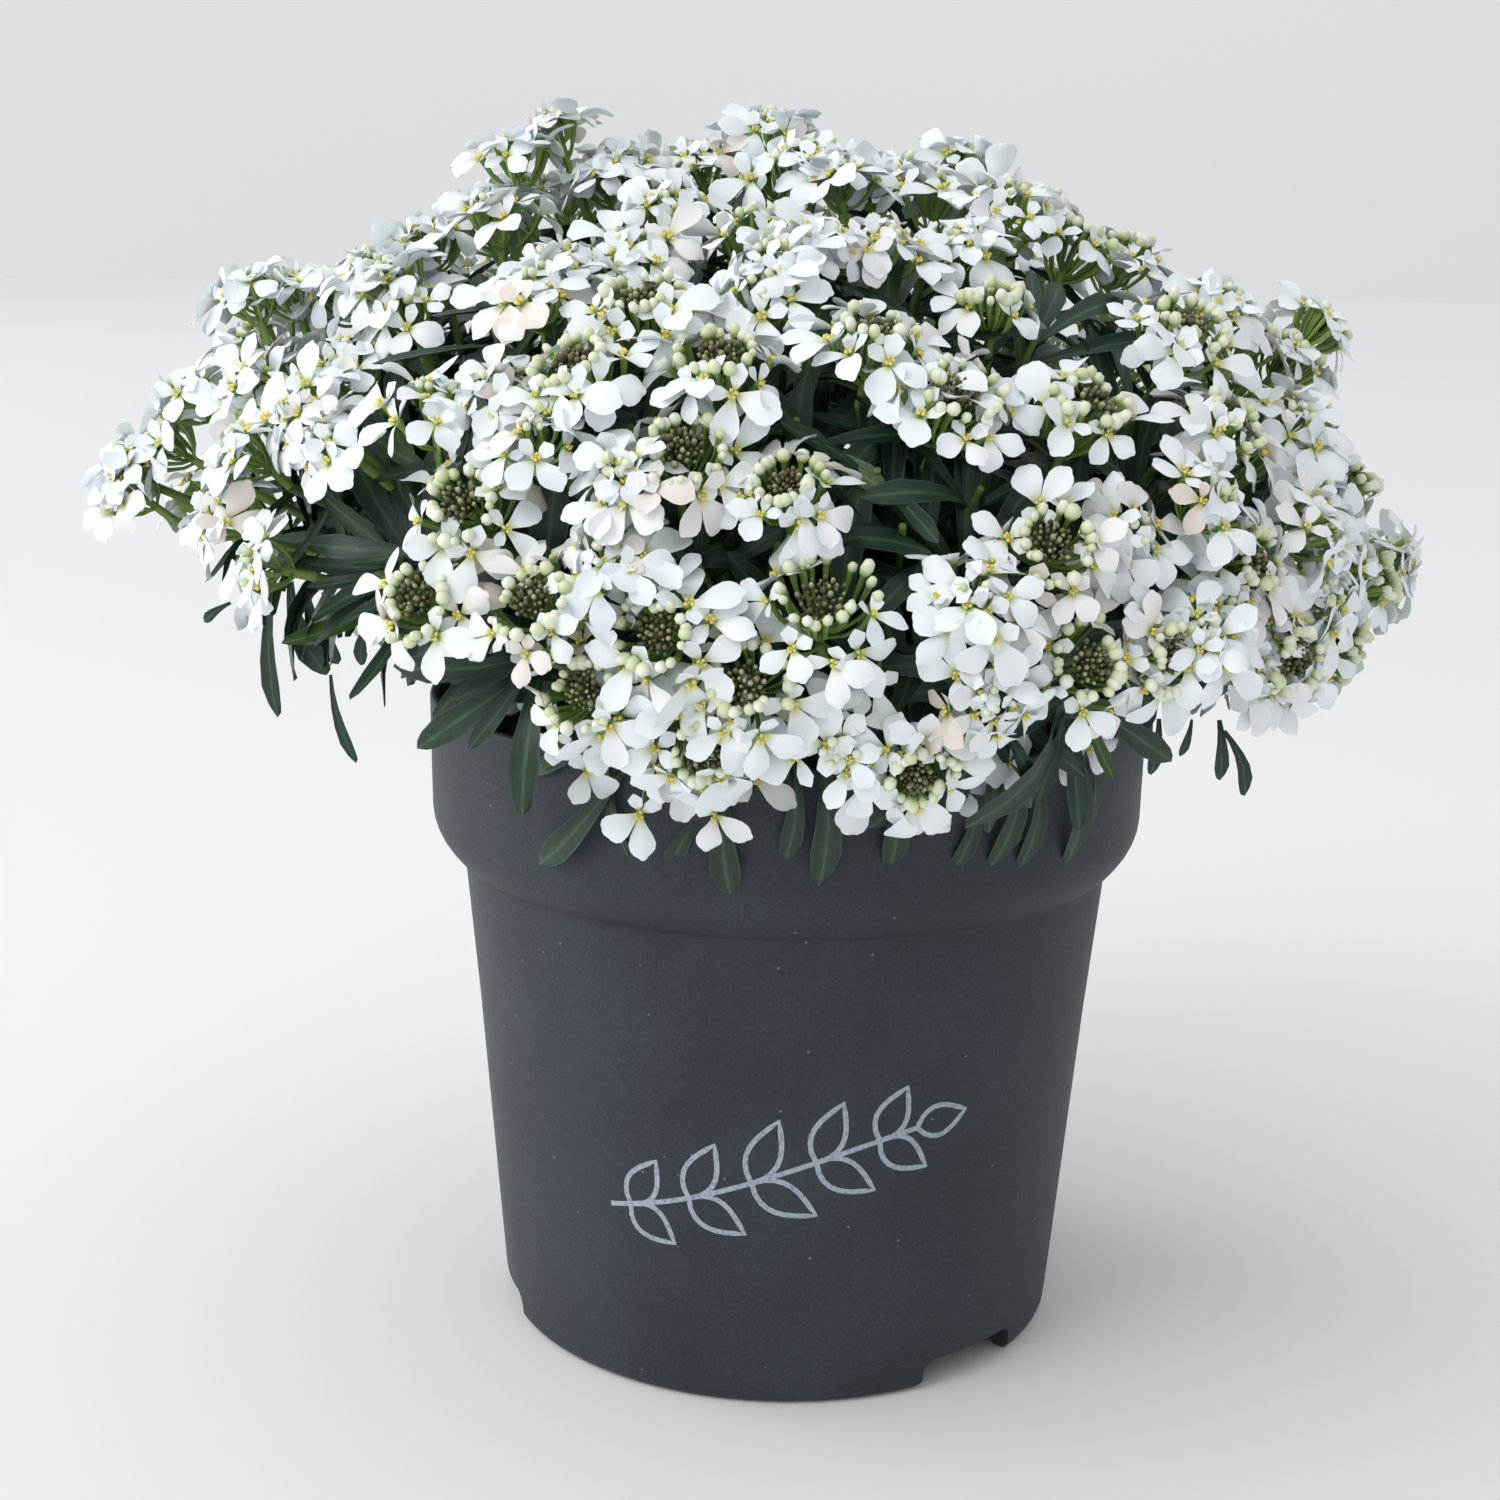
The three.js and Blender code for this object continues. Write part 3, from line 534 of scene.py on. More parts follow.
# Rings of the pale closed buds, rounder or longer, and of the dark ones at a head's middle.
BUD_RINGS = (
    ((0, 0), (0.85, 0.5), (1.25, 1.5), (0.95, 2.6), (0, 3.1)),
    ((0, 0), (0.7, 0.5), (1.05, 1.6), (0.85, 2.8), (0, 3.4)),
    ((0, 0), (0.95, 0.4), (1.4, 1.4), (1.05, 2.5), (0, 2.9)),
)
BUD_SIDES = 7
CLUSTER_RINGS = (
    ((0, -0.6), (0.62, 0.2), (0.45, 1.0), (0, 1.3)),
    ((0, -0.6), (0.5, 0.1), (0.36, 0.8), (0, 1.15)),
)
CLUSTER_SIDES = 5


def round_forms(name, forms, sides):
    return [round_form(f"{name}_{i}", rings, sides) for i, rings in enumerate(forms)]


def anther_forms():
    """The eye of a flower: four anthers round the pistil."""
    chance = random.Random(8)
    verts = []
    faces = []
    along = []
    spots = [(0.0, 0.0, 0.75, 0.4, 0.0)]
    for i in range(4):
        angle = i * FULL_TURN / 4 + chance.uniform(-0.3, 0.3)
        spots.append((0.5 * math.cos(angle), 0.5 * math.sin(angle), chance.uniform(0.75, 1.0), 0.38, 1.0))
    for x, y, z, size, kind in spots:
        start = len(verts)
        verts += [(x + size, y, z), (x, y + size, z), (x - size, y, z), (x, y - size, z)]
        verts += [(x, y, z + size * 1.3), (x, y, z - size * 1.3)]
        along += [kind] * 6
        for i in range(4):
            k = (i + 1) % 4
            faces.append((start + i, start + k, start + 4))
            faces.append((start + k, start + i, start + 5))
    return [form_object("anther_form_0", verts, faces, along=along)]


# Leaves: narrow, broadest near the blunt tip, with a groove along the middle
LEAF_WIDTHS = (0.28, 0.4, 0.58, 0.8, 0.97, 1.0, 0.42)
LEAF_LENGTH = 25
LEAF_GROOVE = 0.5
LEAF_THICKNESS = 0.5
LEAF_STATIONS = (0.0, 0.17, 0.36, 0.56, 0.76, 0.92, 1.0)

# How far each leaf form bows up, and its greatest width; the hanging ones come last.
GROWING_LEAVES = ((0.03, 4.7), (0.08, 4.5), (0.13, 4.3), (0.19, 4.9), (-0.05, 4.2), (0.1, 5.2))
HANGING_LEAVES = ((0.12, 3.6), (0.12, 5.4), (0.14, 7.2))


def leaf_forms():
    """Leaves with root and tip on the X axis, bowed up or down between them."""
    chance = random.Random(33)
    made = []
    for i, (bow, width) in enumerate(GROWING_LEAVES + HANGING_LEAVES):
        sway = chance.uniform(-0.07, 0.07)
        twist = chance.uniform(-0.5, 0.5)

        def surface(u, v, bow=bow, width=width, sway=sway, twist=twist):
            half = width / 2 * share_at(LEAF_WIDTHS, u)
            slope = 4 * bow * (1 - 2 * u)
            normal = Vector((-slope, 0, 1)).normalized()
            bend = math.sin(math.pi * u)
            place = Vector((LEAF_LENGTH * (u - 0.04 * u**4 * v * v), LEAF_LENGTH * sway * bend, 0))
            place.z = LEAF_LENGTH * 4 * bow * u * (1 - u)
            lift = LEAF_GROOVE * (abs(v) - 0.5) * min(1, 3 * u, 4 * (1 - u)) + twist * half * v * u
            return place + Vector((0, half * v, 0)) + normal * lift, normal

        blades = Blades()
        blades.blade(LEAF_STATIONS, 2, surface, LEAF_THICKNESS)
        made.append(blades.object(f"leaf_form_{i}"))
    return made


# Setting forms out


class Places:
    """Where copies of a form go: place, turn, size, which form, and a shade from 0 to 1."""

    def __init__(self):
        self.rows = []

    def put(self, place, turn, size, form, shade):
        self.rows.append((place, turn.to_euler(), size, form, shade))

    def mesh(self, name):
        made = bpy.data.meshes.new(name)
        made.from_pydata([row[0] * MM for row in self.rows], [], [])
        turns = [value for row in self.rows for value in row[1]]
        made.attributes.new("turn", "FLOAT_VECTOR", "POINT").data.foreach_set("vector", turns)
        kinds = (("size", "FLOAT"), ("form", "INT"), ("shade", "FLOAT"))
        for column, (attribute, kind) in enumerate(kinds, 2):
            values = [row[column] for row in self.rows]
            made.attributes.new(attribute, kind, "POINT").data.foreach_set("value", values)
        return made


def new_tree(name, sockets):
    tree = bpy.data.node_groups.new(name, "GeometryNodeTree")
    tree.interface.new_socket("Geometry", in_out="OUTPUT", socket_type="NodeSocketGeometry")
    for socket, kind in sockets.items():
        tree.interface.new_socket(socket, in_out="INPUT", socket_type=kind)
    return tree, add(tree, "NodeGroupInput").outputs


def ended(tree, last, given):
    """Ends a tree: its copies made real, and its material set."""
    real = add(tree, "GeometryNodeRealizeInstances", {"Geometry": last.outputs[0]})
    painted = add(tree, "GeometryNodeSetMaterial", {
        "Geometry": real.outputs[0], "Material": given["Material"],
    })
    add(tree, "NodeGroupOutput", {"Geometry": painted.outputs[0]})
    return tree


def set_out_tree():
    """Puts one of a collection's forms on each point."""
    tree, given = new_tree("set_out_forms", {
        "Geometry": "NodeSocketGeometry",
        "Forms": "NodeSocketCollection",
        "Size": "NodeSocketFloat",
        "Size spread": "NodeSocketFloat",
        "Seed": "NodeSocketInt",
        "Material": "NodeSocketMaterial",
    })
    forms = add(tree, "GeometryNodeCollectionInfo", {
        "Collection": given["Forms"], "Separate Children": True, "Reset Children": True,
    })
    turn, form, size = (
        add(tree, "GeometryNodeInputNamedAttribute", {"Name": name}, data_type=kind).outputs["Attribute"]
        for name, kind in (("turn", "FLOAT_VECTOR"), ("form", "INT"), ("size", "FLOAT"))
    )
    least, most = (
        add(tree, "ShaderNodeMath", {0: 1.0, 1: given["Size spread"]}, operation=sign).outputs[0]
        for sign in ("SUBTRACT", "ADD")
    )
    spread = add(tree, "FunctionNodeRandomValue", {
        2: least, 3: most, "Seed": given["Seed"],
    }, data_type="FLOAT").outputs[1]
    scaled = add(tree, "ShaderNodeMath", {0: size, 1: given["Size"]}, operation="MULTIPLY").outputs[0]
    scale = add(tree, "ShaderNodeMath", {0: scaled, 1: spread}, operation="MULTIPLY").outputs[0]
    copies = add(tree, "GeometryNodeInstanceOnPoints", {
        "Points": given["Geometry"],
        "Instance": forms.outputs[0],
        "Pick Instance": True,
        "Instance Index": form,
        "Rotation": turn,
        "Scale": scale,
    })
    return ended(tree, copies, given)


def stalk_tree():
    """Turns paths into round stalks with closed ends."""
    tree, given = new_tree("round_stalks", {
        "Geometry": "NodeSocketGeometry",
        "Sides": "NodeSocketInt",
        "Thickness": "NodeSocketFloat",
        "Material": "NodeSocketMaterial",
    })
    path = add(tree, "GeometryNodeMeshToCurve", {"Mesh": given["Geometry"]})
    radius = add(tree, "GeometryNodeInputNamedAttribute", {"Name": "thickness"}, data_type="FLOAT")
    scaled = add(tree, "ShaderNodeMath", {
        0: radius.outputs["Attribute"], 1: given["Thickness"],
    }, operation="MULTIPLY")
    ring = add(tree, "GeometryNodeCurvePrimitiveCircle", {"Resolution": given["Sides"], "Radius": 1.0})
    skin = add(tree, "GeometryNodeCurveToMesh", {
        "Curve": path.outputs[0],
        "Profile Curve": ring.outputs["Curve"],
        "Scale": scaled.outputs[0],
        "Fill Caps": True,
    })
    return ended(tree, add(tree, "GeometryNodeSetShadeSmooth", {"Geometry": skin.outputs[0]}), given)


def grown(name, source, tree, values):
    """Runs a tree on a mesh and keeps the result as a plain mesh in an object of this name."""
    piece = mesh_object(name, source)
    grow = piece.modifiers.new(tree.name, "NODES")
    grow.node_group = tree
    for socket in tree.interface.items_tree:
        if socket.in_out == "INPUT" and socket.name in values:
            grow[socket.identifier] = values[socket.name]
    graph = bpy.context.evaluated_depsgraph_get()
    result = bpy.data.meshes.new_from_object(
        piece.evaluated_get(graph), preserve_all_data_layers=True, depsgraph=graph
    )
    piece.modifiers.remove(grow)
    piece.data = result
    result.name = name
    return piece


def collected(name, objects):
    made = bpy.data.collections.new(name)
    for thing in objects:
        made.objects.link(thing)
    return made


class Paths:
    """Paths for stalks: points with a thickness and a shade at each."""

    def __init__(self):
        self.points = []
        self.edges = []
        self.thickness = []
        self.shade = []

    def path(self, points, radii, shade):
        start = len(self.points)
        for i, point in enumerate(points):
            self.points.append(point)
            self.thickness.append(share_at(radii, i / (len(points) - 1)) * MM)
            self.shade.append(shade)
            if i:
                self.edges.append((start + i - 1, start + i))

    def mesh(self, name):
        made = bpy.data.meshes.new(name)
        made.from_pydata([p * MM for p in self.points], self.edges, [])
        made.attributes.new("thickness", "FLOAT", "POINT").data.foreach_set("value", self.thickness)
        made.attributes.new("shade", "FLOAT", "POINT").data.foreach_set("value", self.shade)
        return made


def bowed(start, end, bow, steps):
    """A path from start to end, bowed by the vector bow at its middle."""
    return [start.lerp(end, i / steps) + bow * (4 * (i / steps) * (1 - i / steps)) for i in range(steps + 1)]


# Materials


def new_material(name, roughness):
    material = bpy.data.materials.new(name)
    material.use_nodes = True
    tree = material.node_tree
    tree.nodes.clear()
    shader = add(tree, "ShaderNodeBsdfPrincipled", {"Roughness": roughness})
    add(tree, "ShaderNodeOutputMaterial", {"Surface": shader.outputs["BSDF"]})
    return material, tree, shader


def coat(tree, shader, colour, relief=None, strength=0.0, depth_mm=0.0):
    """Gives a material its colour and, from a pattern, its fine relief."""
    tree.links.new(colour, shader.inputs["Base Color"])
    if relief is not None:
        bump = add(tree, "ShaderNodeBump", {
            "Height": relief, "Strength": strength, "Distance": depth_mm * MM,
        })
        tree.links.new(bump.outputs[0], shader.inputs["Normal"])


def per_metre(size_mm):
    """A pattern's scale from the size of its grain."""
    return 1 / (size_mm * MM)


# Settings of a Mix node: one colour over another, or the two multiplied.
OVER = {"data_type": "RGBA"}
TIMES = {"data_type": "RGBA", "blend_type": "MULTIPLY"}
RAMP = "ShaderNodeValToRGB"

# The size of each finish's grain, as far as it shows.
PETAL_GRAIN_MM = 0.7143
BARK_STREAK_MM = 0.9091
SOIL_CRUMB_MM = 2.381
POT_GRAIN_MM = 0.55
POT_CLOUD_MM = 26.316
POT_SPECK_SPACING_MM = 5.5
POT_SPECK_SIZE = 0.045
INK_WEAR_MM = 0.6667

# How often a leaf's mottle changes along it, across it and from leaf to leaf.
LEAF_MOTTLE = (5.0, 1.5, 90.0)


def petal_finish():
    # Living petal, thin and waxy: bright cool white, with a green-cream claw, and rosier and
    # creamier on the older flowers.
    material, tree, shader = new_material("petal_living_white", 0.55)
    along = add(tree, "ShaderNodeAttribute", attribute_name="along").outputs["Fac"]
    shade = add(tree, "ShaderNodeAttribute", attribute_name="shade").outputs["Fac"]
    blade = add(tree, RAMP, {"Fac": along}, [
        (0.0, "#cfd79b"), (0.14, "#e9eed3"), (0.3, "#fafcff"), (1.0, "#f8fbff"),
    ])
    age = add(tree, RAMP, {"Fac": shade}, [
        (0.0, "#f6fcfc"), (0.8, "#f8fafa"), (0.965, "#f5eeea"), (1.0, "#eaddce"),
    ])
    tinted = add(tree, "ShaderNodeMix", {"Factor": 1.0, 6: blade.outputs[0], 7: age.outputs[0]}, **TIMES)
    place = add(tree, "ShaderNodeTexCoord").outputs["Object"]
    grain = add(tree, "ShaderNodeTexNoise", {
        "Vector": place, "Scale": per_metre(PETAL_GRAIN_MM), "Detail": 2.0,
    })
    coat(tree, shader, tinted.outputs[2], grain.outputs[0], 0.12, 0.2)
    return material


def shaded_finish(name, roughness, dark, pale):
    """A finish that changes along each form, between two ranges of colour from form to form."""
    material, tree, shader = new_material(name, roughness)
    along = add(tree, "ShaderNodeAttribute", attribute_name="along").outputs["Fac"]
    shade = add(tree, "ShaderNodeAttribute", attribute_name="shade").outputs["Fac"]
    one = add(tree, RAMP, {"Fac": along}, dark).outputs[0]
    other = add(tree, RAMP, {"Fac": along}, pale).outputs[0]
    coat(tree, shader, add(tree, "ShaderNodeMix", {"Factor": shade, 6: one, 7: other}, **OVER).outputs[2])
    return material


def bud_finish():
    # Closed petals in a green cup: cream with a green foot.
    return shaded_finish(
        "bud_closed_cream",
        0.5,
        [(0.0, "#66833a"), (0.3, "#9db268"), (0.62, "#cdd8a4"), (1.0, "#dde3bd")],
        [(0.0, "#7d9a4c"), (0.3, "#c2cf99"), (0.55, "#e9ecd8"), (1.0, "#f3f5ea")],
    )


def cluster_finish():
    # Unopened buds packed tight, dull brown-green with paler tips.
    return shaded_finish(
        "bud_unopened_brown_green",
        0.75,
        [(0.0, "#23240f"), (0.55, "#3f3c22"), (1.0, "#5c5637")],
        [(0.0, "#3d471c"), (0.55, "#7f8747"), (1.0, "#c3c2a6")],
    )


def plain_finish(name, roughness, attribute, stops):
    """A finish whose colour follows one attribute."""
    material, tree, shader = new_material(name, roughness)
    value = add(tree, "ShaderNodeAttribute", attribute_name=attribute).outputs["Fac"]
    coat(tree, shader, add(tree, RAMP, {"Fac": value}, stops).outputs[0])
    return material


def anther_finish():
    # Pollen-yellow anthers round a green pistil, dry and matte.
    return plain_finish("anther_pollen_yellow", 0.7, "along", [(0.0, "#c3cc6a"), (1.0, "#efe07c")])


def stalk_finish():
    # Soft green stalk of this year's growth, brighter under the flowers.
    stops = [(0.0, "#4f6a35"), (0.5, "#6f8f42"), (1.0, "#9bb663")]
    return plain_finish("stalk_green", 0.55, "shade", stops)


def leaf_finish():
    # Evergreen leaf with a waxy skin: dark green, a paler groove along the middle, paler below
    # and at its foot, a few leaves a fresh green, a soft gloss, and a painted sheen towards each edge.
    material, tree, shader = new_material("leaf_evergreen_waxy", 0.42)
    along, across, under, shade = (
        add(tree, "ShaderNodeAttribute", attribute_name=name).outputs["Fac"]
        for name in ("along", "across", "under", "shade")
    )
    side = add(tree, "ShaderNodeMath", {0: across}, operation="ABSOLUTE").outputs[0]
    # Both ramps below are paler at the middle for the leaf's real groove, and lighter at the edges (side
    # near 1) as painted sheen from glancing light.
    dark = add(tree, RAMP, {"Fac": side}, [
        (0.0, "#41644a"), (0.2, "#20402d"), (0.8, "#183324"), (1.0, "#2e523d"),
    ]).outputs[0]
    fresh = add(tree, RAMP, {"Fac": side}, [
        (0.0, "#8aa35c"), (0.16, "#567a38"), (0.8, "#44692e"), (1.0, "#5d8040"),
    ]).outputs[0]
    young = add(tree, RAMP, {"Fac": shade}, [
        (0.0, "#000000"), (0.7, "#0b0b0b"), (1.0, "#ffffff"),
    ]).outputs[0]
    upper = add(tree, "ShaderNodeMix", {"Factor": young, 6: dark, 7: fresh}, **OVER).outputs[2]
    below = add(tree, "ShaderNodeMath", {0: under, 1: 0.55}, operation="MULTIPLY").outputs[0]
    both = add(tree, "ShaderNodeMix", {"Factor": below, 6: upper, 7: linear("#5d7a5e")}, **OVER).outputs[2]
    foot = add(tree, RAMP, {"Fac": along}, [(0.0, "#c8d8a8"), (0.2, "#ffffff"), (1.0, "#ffffff")]).outputs[0]
    footed = add(tree, "ShaderNodeMix", {"Factor": 0.6, 6: both, 7: foot}, **TIMES).outputs[2]
    skin = add(tree, "ShaderNodeCombineXYZ", {"X": along, "Y": across, "Z": shade}).outputs[0]
    spread = add(tree, "ShaderNodeVectorMath", {0: skin, 1: LEAF_MOTTLE}, operation="MULTIPLY").outputs[0]
    mottle = add(tree, "ShaderNodeTexNoise", {"Vector": spread, "Scale": 2.0, "Detail": 4.0}).outputs[0]
    light = add(tree, RAMP, {"Fac": mottle}, [(0.3, "#b9b9b9"), (0.7, "#ffffff")]).outputs[0]
    final = add(tree, "ShaderNodeMix", {"Factor": 0.7, 6: footed, 7: light}, **TIMES).outputs[2]
    coat(tree, shader, final, mottle, 0.35, 0.3)
    return material


def grainy_finish(name, roughness, scale, detail, stops, strength=0.0, depth_mm=0.0, stretch=(1, 1, 1)):
    """A finish whose colour and relief follow one grain; stretch draws the grain out."""
    material, tree, shader = new_material(name, roughness)
    place = add(tree, "ShaderNodeTexCoord").outputs["Object"]
    drawn = add(tree, "ShaderNodeVectorMath", {0: place, 1: stretch}, operation="MULTIPLY").outputs[0]
    grain = add(tree, "ShaderNodeTexNoise", {"Vector": drawn, "Scale": scale, "Detail": detail}).outputs[0]
    colour = add(tree, RAMP, {"Fac": grain}, stops).outputs[0]
    coat(tree, shader, colour, grain if strength else None, strength, depth_mm)
    return material


def wood_finish():
    # Woody older stem: grey-brown bark with lengthwise streaks.
    stops = [(0.3, "#3d3325"), (0.7, "#77694f")]
    scale = per_metre(BARK_STREAK_MM)
    return grainy_finish("bark_grey_brown", 0.85, scale, 3.0, stops, 0.5, 0.4, (1.0, 1.0, 0.2))


def soil_finish():
    # Moist peat: nearly black crumbs and brown fibres.
    stops = [(0.32, "#16100b"), (0.6, "#33261b"), (0.75, "#54412d")]
    return grainy_finish("peat_moist", 0.95, per_metre(SOIL_CRUMB_MM), 5.0, stops, 0.9, 1.0)


def ink_finish():
    # Screen-printed ink, worn a little, pale grey-blue.
    stops = [(0.3, "#7f8b98"), (0.55, "#a3aeba")]
    return grainy_finish("ink_pale_grey_blue", 0.6, per_metre(INK_WEAR_MM), 2.0, stops)


def pot_finish():
    # Recycled polypropylene, injection moulded with an eroded matte skin: anthracite, with a
    # fine grain, cloudy differences of colour and a few pale specks of other plastic.
    material, tree, shader = new_material("polypropylene_recycled_anthracite", 0.56)
    shader.inputs["Specular IOR Level"].default_value = 0.32
    place = add(tree, "ShaderNodeTexCoord").outputs["Object"]
    grain, clouds = (
        add(tree, "ShaderNodeTexNoise", {
            "Vector": place, "Scale": per_metre(size), "Detail": 3.0,
        }).outputs[0]
        for size in (POT_GRAIN_MM, POT_CLOUD_MM)
    )
    base = add(tree, RAMP, {"Fac": clouds}, [(0.3, "#31373f"), (0.7, "#3b424b")]).outputs[0]
    mottled = add(tree, RAMP, {"Fac": grain}, [(0.3, "#c4c4c4"), (0.7, "#ffffff")]).outputs[0]
    body = add(tree, "ShaderNodeMix", {"Factor": 0.75, 6: base, 7: mottled}, **TIMES).outputs[2]
    specks = add(tree, "ShaderNodeTexVoronoi", {
        "Vector": place, "Scale": per_metre(POT_SPECK_SPACING_MM),
    }).outputs["Distance"]
    spot = add(tree, "ShaderNodeMath", {0: specks, 1: POT_SPECK_SIZE}, operation="LESS_THAN").outputs[0]
    speckled = add(tree, "ShaderNodeMix", {"Factor": spot, 6: body, 7: linear("#6d737b")}, **OVER).outputs[2]
    coat(tree, shader, speckled, grain, 0.45, 0.2)
    return material


def floor_finish():
    # Plain matte paper backdrop.
    material, tree, shader = new_material("paper_backdrop_pale", 0.9)
    shader.inputs["Base Color"].default_value = linear("#f3f3f3")
    return material


# Flower heads

# Rings of flowers in each kind of head: how many, how far out and how high as shares of the
# head's radius, and how far they lean out.
FLOWER_RINGS = {
    F: ((7, 0.52, 0.0, 0.6), (5, 0.25, 0.14, 0.3)),
    R: ((8, 0.54, 0.0, 0.6), (2, 0.42, 0.08, 0.4)),
    Y: ((5, 0.5, -0.03, 0.7),),
}
FLOWERS_FALLEN = 0.1
FLOWER_TILT = 0.42
FLOWER_SPIN = 0.4
RING_TURN = 0.6

# Pale buds in each kind of head: how many, from and to how far out, and their size.
BUDS = {F: (5, 0.03, 0.3, 0.6), R: (17, 0.25, 0.47, 0.78), Y: (24, 0.06, 0.58, 0.8)}
BUD_SPLAY = 1.3
BUD_TILT = 0.15

# Dark buds at the middle of a ringed head, and how far out they reach.
CLUSTER_BUDS = 36
CLUSTER_REACH = 0.23
CLUSTER_BASE = 2.0
MIDDLE_HEIGHT = 0.2

# A head's stalk starts this far below it, and its flowers' stalks start along this much of it.
STALK_DROP = 0.9
STALK_SPREAD = 0.7
HEAD_STALK_RADII = (0.9, 0.8, 0.6)
FLOWER_STALK_RADIUS = 0.32
BUD_STALK_RADIUS = 0.27
STALK_FLARE = 2.2


def fill_head(head, places, chance):
    """Sets out the flowers, buds and stalks of one head."""
    centre = head["centre"]
    axis = head["axis"]
    turn = head["frame"]
    radius = head["radius"]
    joint = centre - axis * (STALK_DROP * radius)
    top = centre - axis * (0.2 * radius)
    places["stalks"].path(bowed(joint, top, Vector(), 2), HEAD_STALK_RADII, 0.6)
    start = chance.uniform(0, FULL_TURN)

    def spot(share, angle, height):
        out = turn @ way_at(angle)
        return centre + out * (share * radius) + axis * (height * radius), out

    def stalk(place, out, share, thickness):
        root = joint + axis * ((STALK_SPREAD * (1 - share) + chance.uniform(-0.05, 0.05)) * radius)
        bow = (out - axis) * (0.07 * radius)
        radii = (thickness, thickness, thickness * STALK_FLARE)
        places["stalks"].path(bowed(root, place, bow, 3), radii, chance.uniform(0.45, 1))

    def flower(share, angle, height, lean, size):
        place, out = spot(share, angle, height)
        toward = axis * math.cos(lean) + out * math.sin(lean)
        toward += jitter(chance, FLOWER_TILT)
        outward = out + jitter(chance, FLOWER_SPIN)
        frame_here = basis(toward, outward)
        shade = chance.random()
        form = chance.randrange(FLOWER_FORMS)
        places["petals"][head["group"]].put(place, frame_here, size, form, shade)
        places["anthers"].put(place, frame_here, size, 0, shade)
        stalk(place, out, share, FLOWER_STALK_RADIUS)

    def bud(share, angle, height, size):
        place, out = spot(share, angle, height)
        toward = axis + out * (BUD_SPLAY * share) + jitter(chance, BUD_TILT)
        form = chance.randrange(len(BUD_RINGS))
        places["buds"].put(place, basis(toward, out), size, form, chance.random())
        stalk(place + toward.normalized() * 0.2, out, share, BUD_STALK_RADIUS)

    for count, share, height, lean in FLOWER_RINGS[head["kind"]]:
        for i in range(count):
            if chance.random() < FLOWERS_FALLEN:
                continue
            angle = start + (i + chance.uniform(-0.28, 0.28)) / count * FULL_TURN
            flower(
                share + chance.uniform(-0.06, 0.06),
                angle,
                height + chance.uniform(-0.05, 0.05),
                lean + chance.uniform(-0.3, 0.4),
                chance.uniform(0.75, 1.15) * (0.88 if share < 0.3 else 1),
            )
        start += RING_TURN
    count, low, high, size = BUDS[head["kind"]]
    for i in range(count):
        share = low + (high - low) * ((i * 0.618) % 1)
        height = MIDDLE_HEIGHT - 0.4 * share * share + chance.uniform(-0.05, 0.03)
        bud(share, start + i * GOLDEN_ANGLE, height, size * chance.uniform(0.75, 1.15))
    if head["kind"] == R:
        for i in range(CLUSTER_BUDS):
            share = CLUSTER_REACH * math.sqrt((i + 0.5) / CLUSTER_BUDS)
            height = MIDDLE_HEIGHT - 1.2 * share * share + chance.uniform(-0.03, 0.03)
            place, out = spot(share, i * GOLDEN_ANGLE, height)
            toward = axis + out * (3 * share)
            size = chance.uniform(0.55, 1.0)
            places["clusters"].put(place, basis(toward, out), size, i % 2, chance.random() ** 2)
        base, _ = spot(0, 0, -0.02)
        places["clusters"].put(base, basis(axis, turn @ Vector((1, 0, 0))), CLUSTER_BASE, 0, 0.0)


# Branches and leaves


def make_forks():
    forks = []
    for radius, z, hole_radius, turns in FORK_RINGS:
        for turn in turns:
            around = way_at(math.radians(turn))
            hole = around * hole_radius
            hole.z = SOIL_MIDDLE_Z - STEM_HOLE_DEPTH + SOIL_GAP
            forks.append({"place": around * radius + UP * z, "hole": hole})
    return forks


def stem_path(fork):
    start = fork["hole"]
    above = start + UP * (STEM_HOLE_DEPTH + 4)
    bend = fork["place"].lerp(above, 0.4) - UP * 2
    knots = [start, above, bend, fork["place"]]
    points = []
    for i in range(3):
        before = knots[max(i - 1, 0)]
        after = knots[min(i + 2, 3)]
        a, b = knots[i], knots[i + 1]
        for step in range(4):
            t = step / 4
            points.append(0.5 * (
                2 * a + (b - before) * t + (2 * before - 5 * a + 4 * b - after) * t**2
                + (3 * a - before - 3 * b + after) * t**3
            ))
    return points + [knots[3]]


def in_the_way(place):
    """Whether a leaf's end here would be in the pot's wall or under the soil."""
    out = math.hypot(place.x, place.y)
    if place.z < SOIL_EDGE_Z + 1:
        return out < RIM_RADIUS + 3
    return place.z < POT_HEIGHT + 2 and RIM_RADIUS - 5 < out < RIM_RADIUS + 3


# Leaves end inside the dome, and out of each head down to this share of its radius below it.
LEAF_REACH = 0.965
HEAD_DEPTH = 0.4

# Along a shoot: where the leaves start as a share of it, their spacing, and their sizes.
FIRST_LEAF = 0.3
LAST_LEAF = 0.97
LEAF_SPACING = 2.6
SHOOT_LEAF_SIZES = (15, 25)
SHOOT_BOW = 1.5

# A rosette: how many leaves, how deep the outer ones start, and the size of outer and inner ones.
ROSETTE_LEAVES = 15
ROSETTE_DEPTH = 7
ROSETTE_SIZES = (26, 13)
FRESH_LEAVES = 0.12


def in_a_head(place, heads):
    """Whether this place is among a head's flowers and buds."""
    for head in heads:
        way = place - head["centre"]
        height = way.dot(head["axis"])
        beside = (way - head["axis"] * height).length
        if height > -HEAD_DEPTH * head["radius"] and beside < head["radius"]:
            return way.length < 2 * head["radius"]
    return False


def put_leaf(places, root, toward, upper, length, shade, chance, form=None):
    turn = basis(upper, toward)
    chosen = chance.randrange(len(GROWING_LEAVES)) if form is None else form
    places["leaves"].put(root, turn, length / LEAF_LENGTH, chosen, shade)


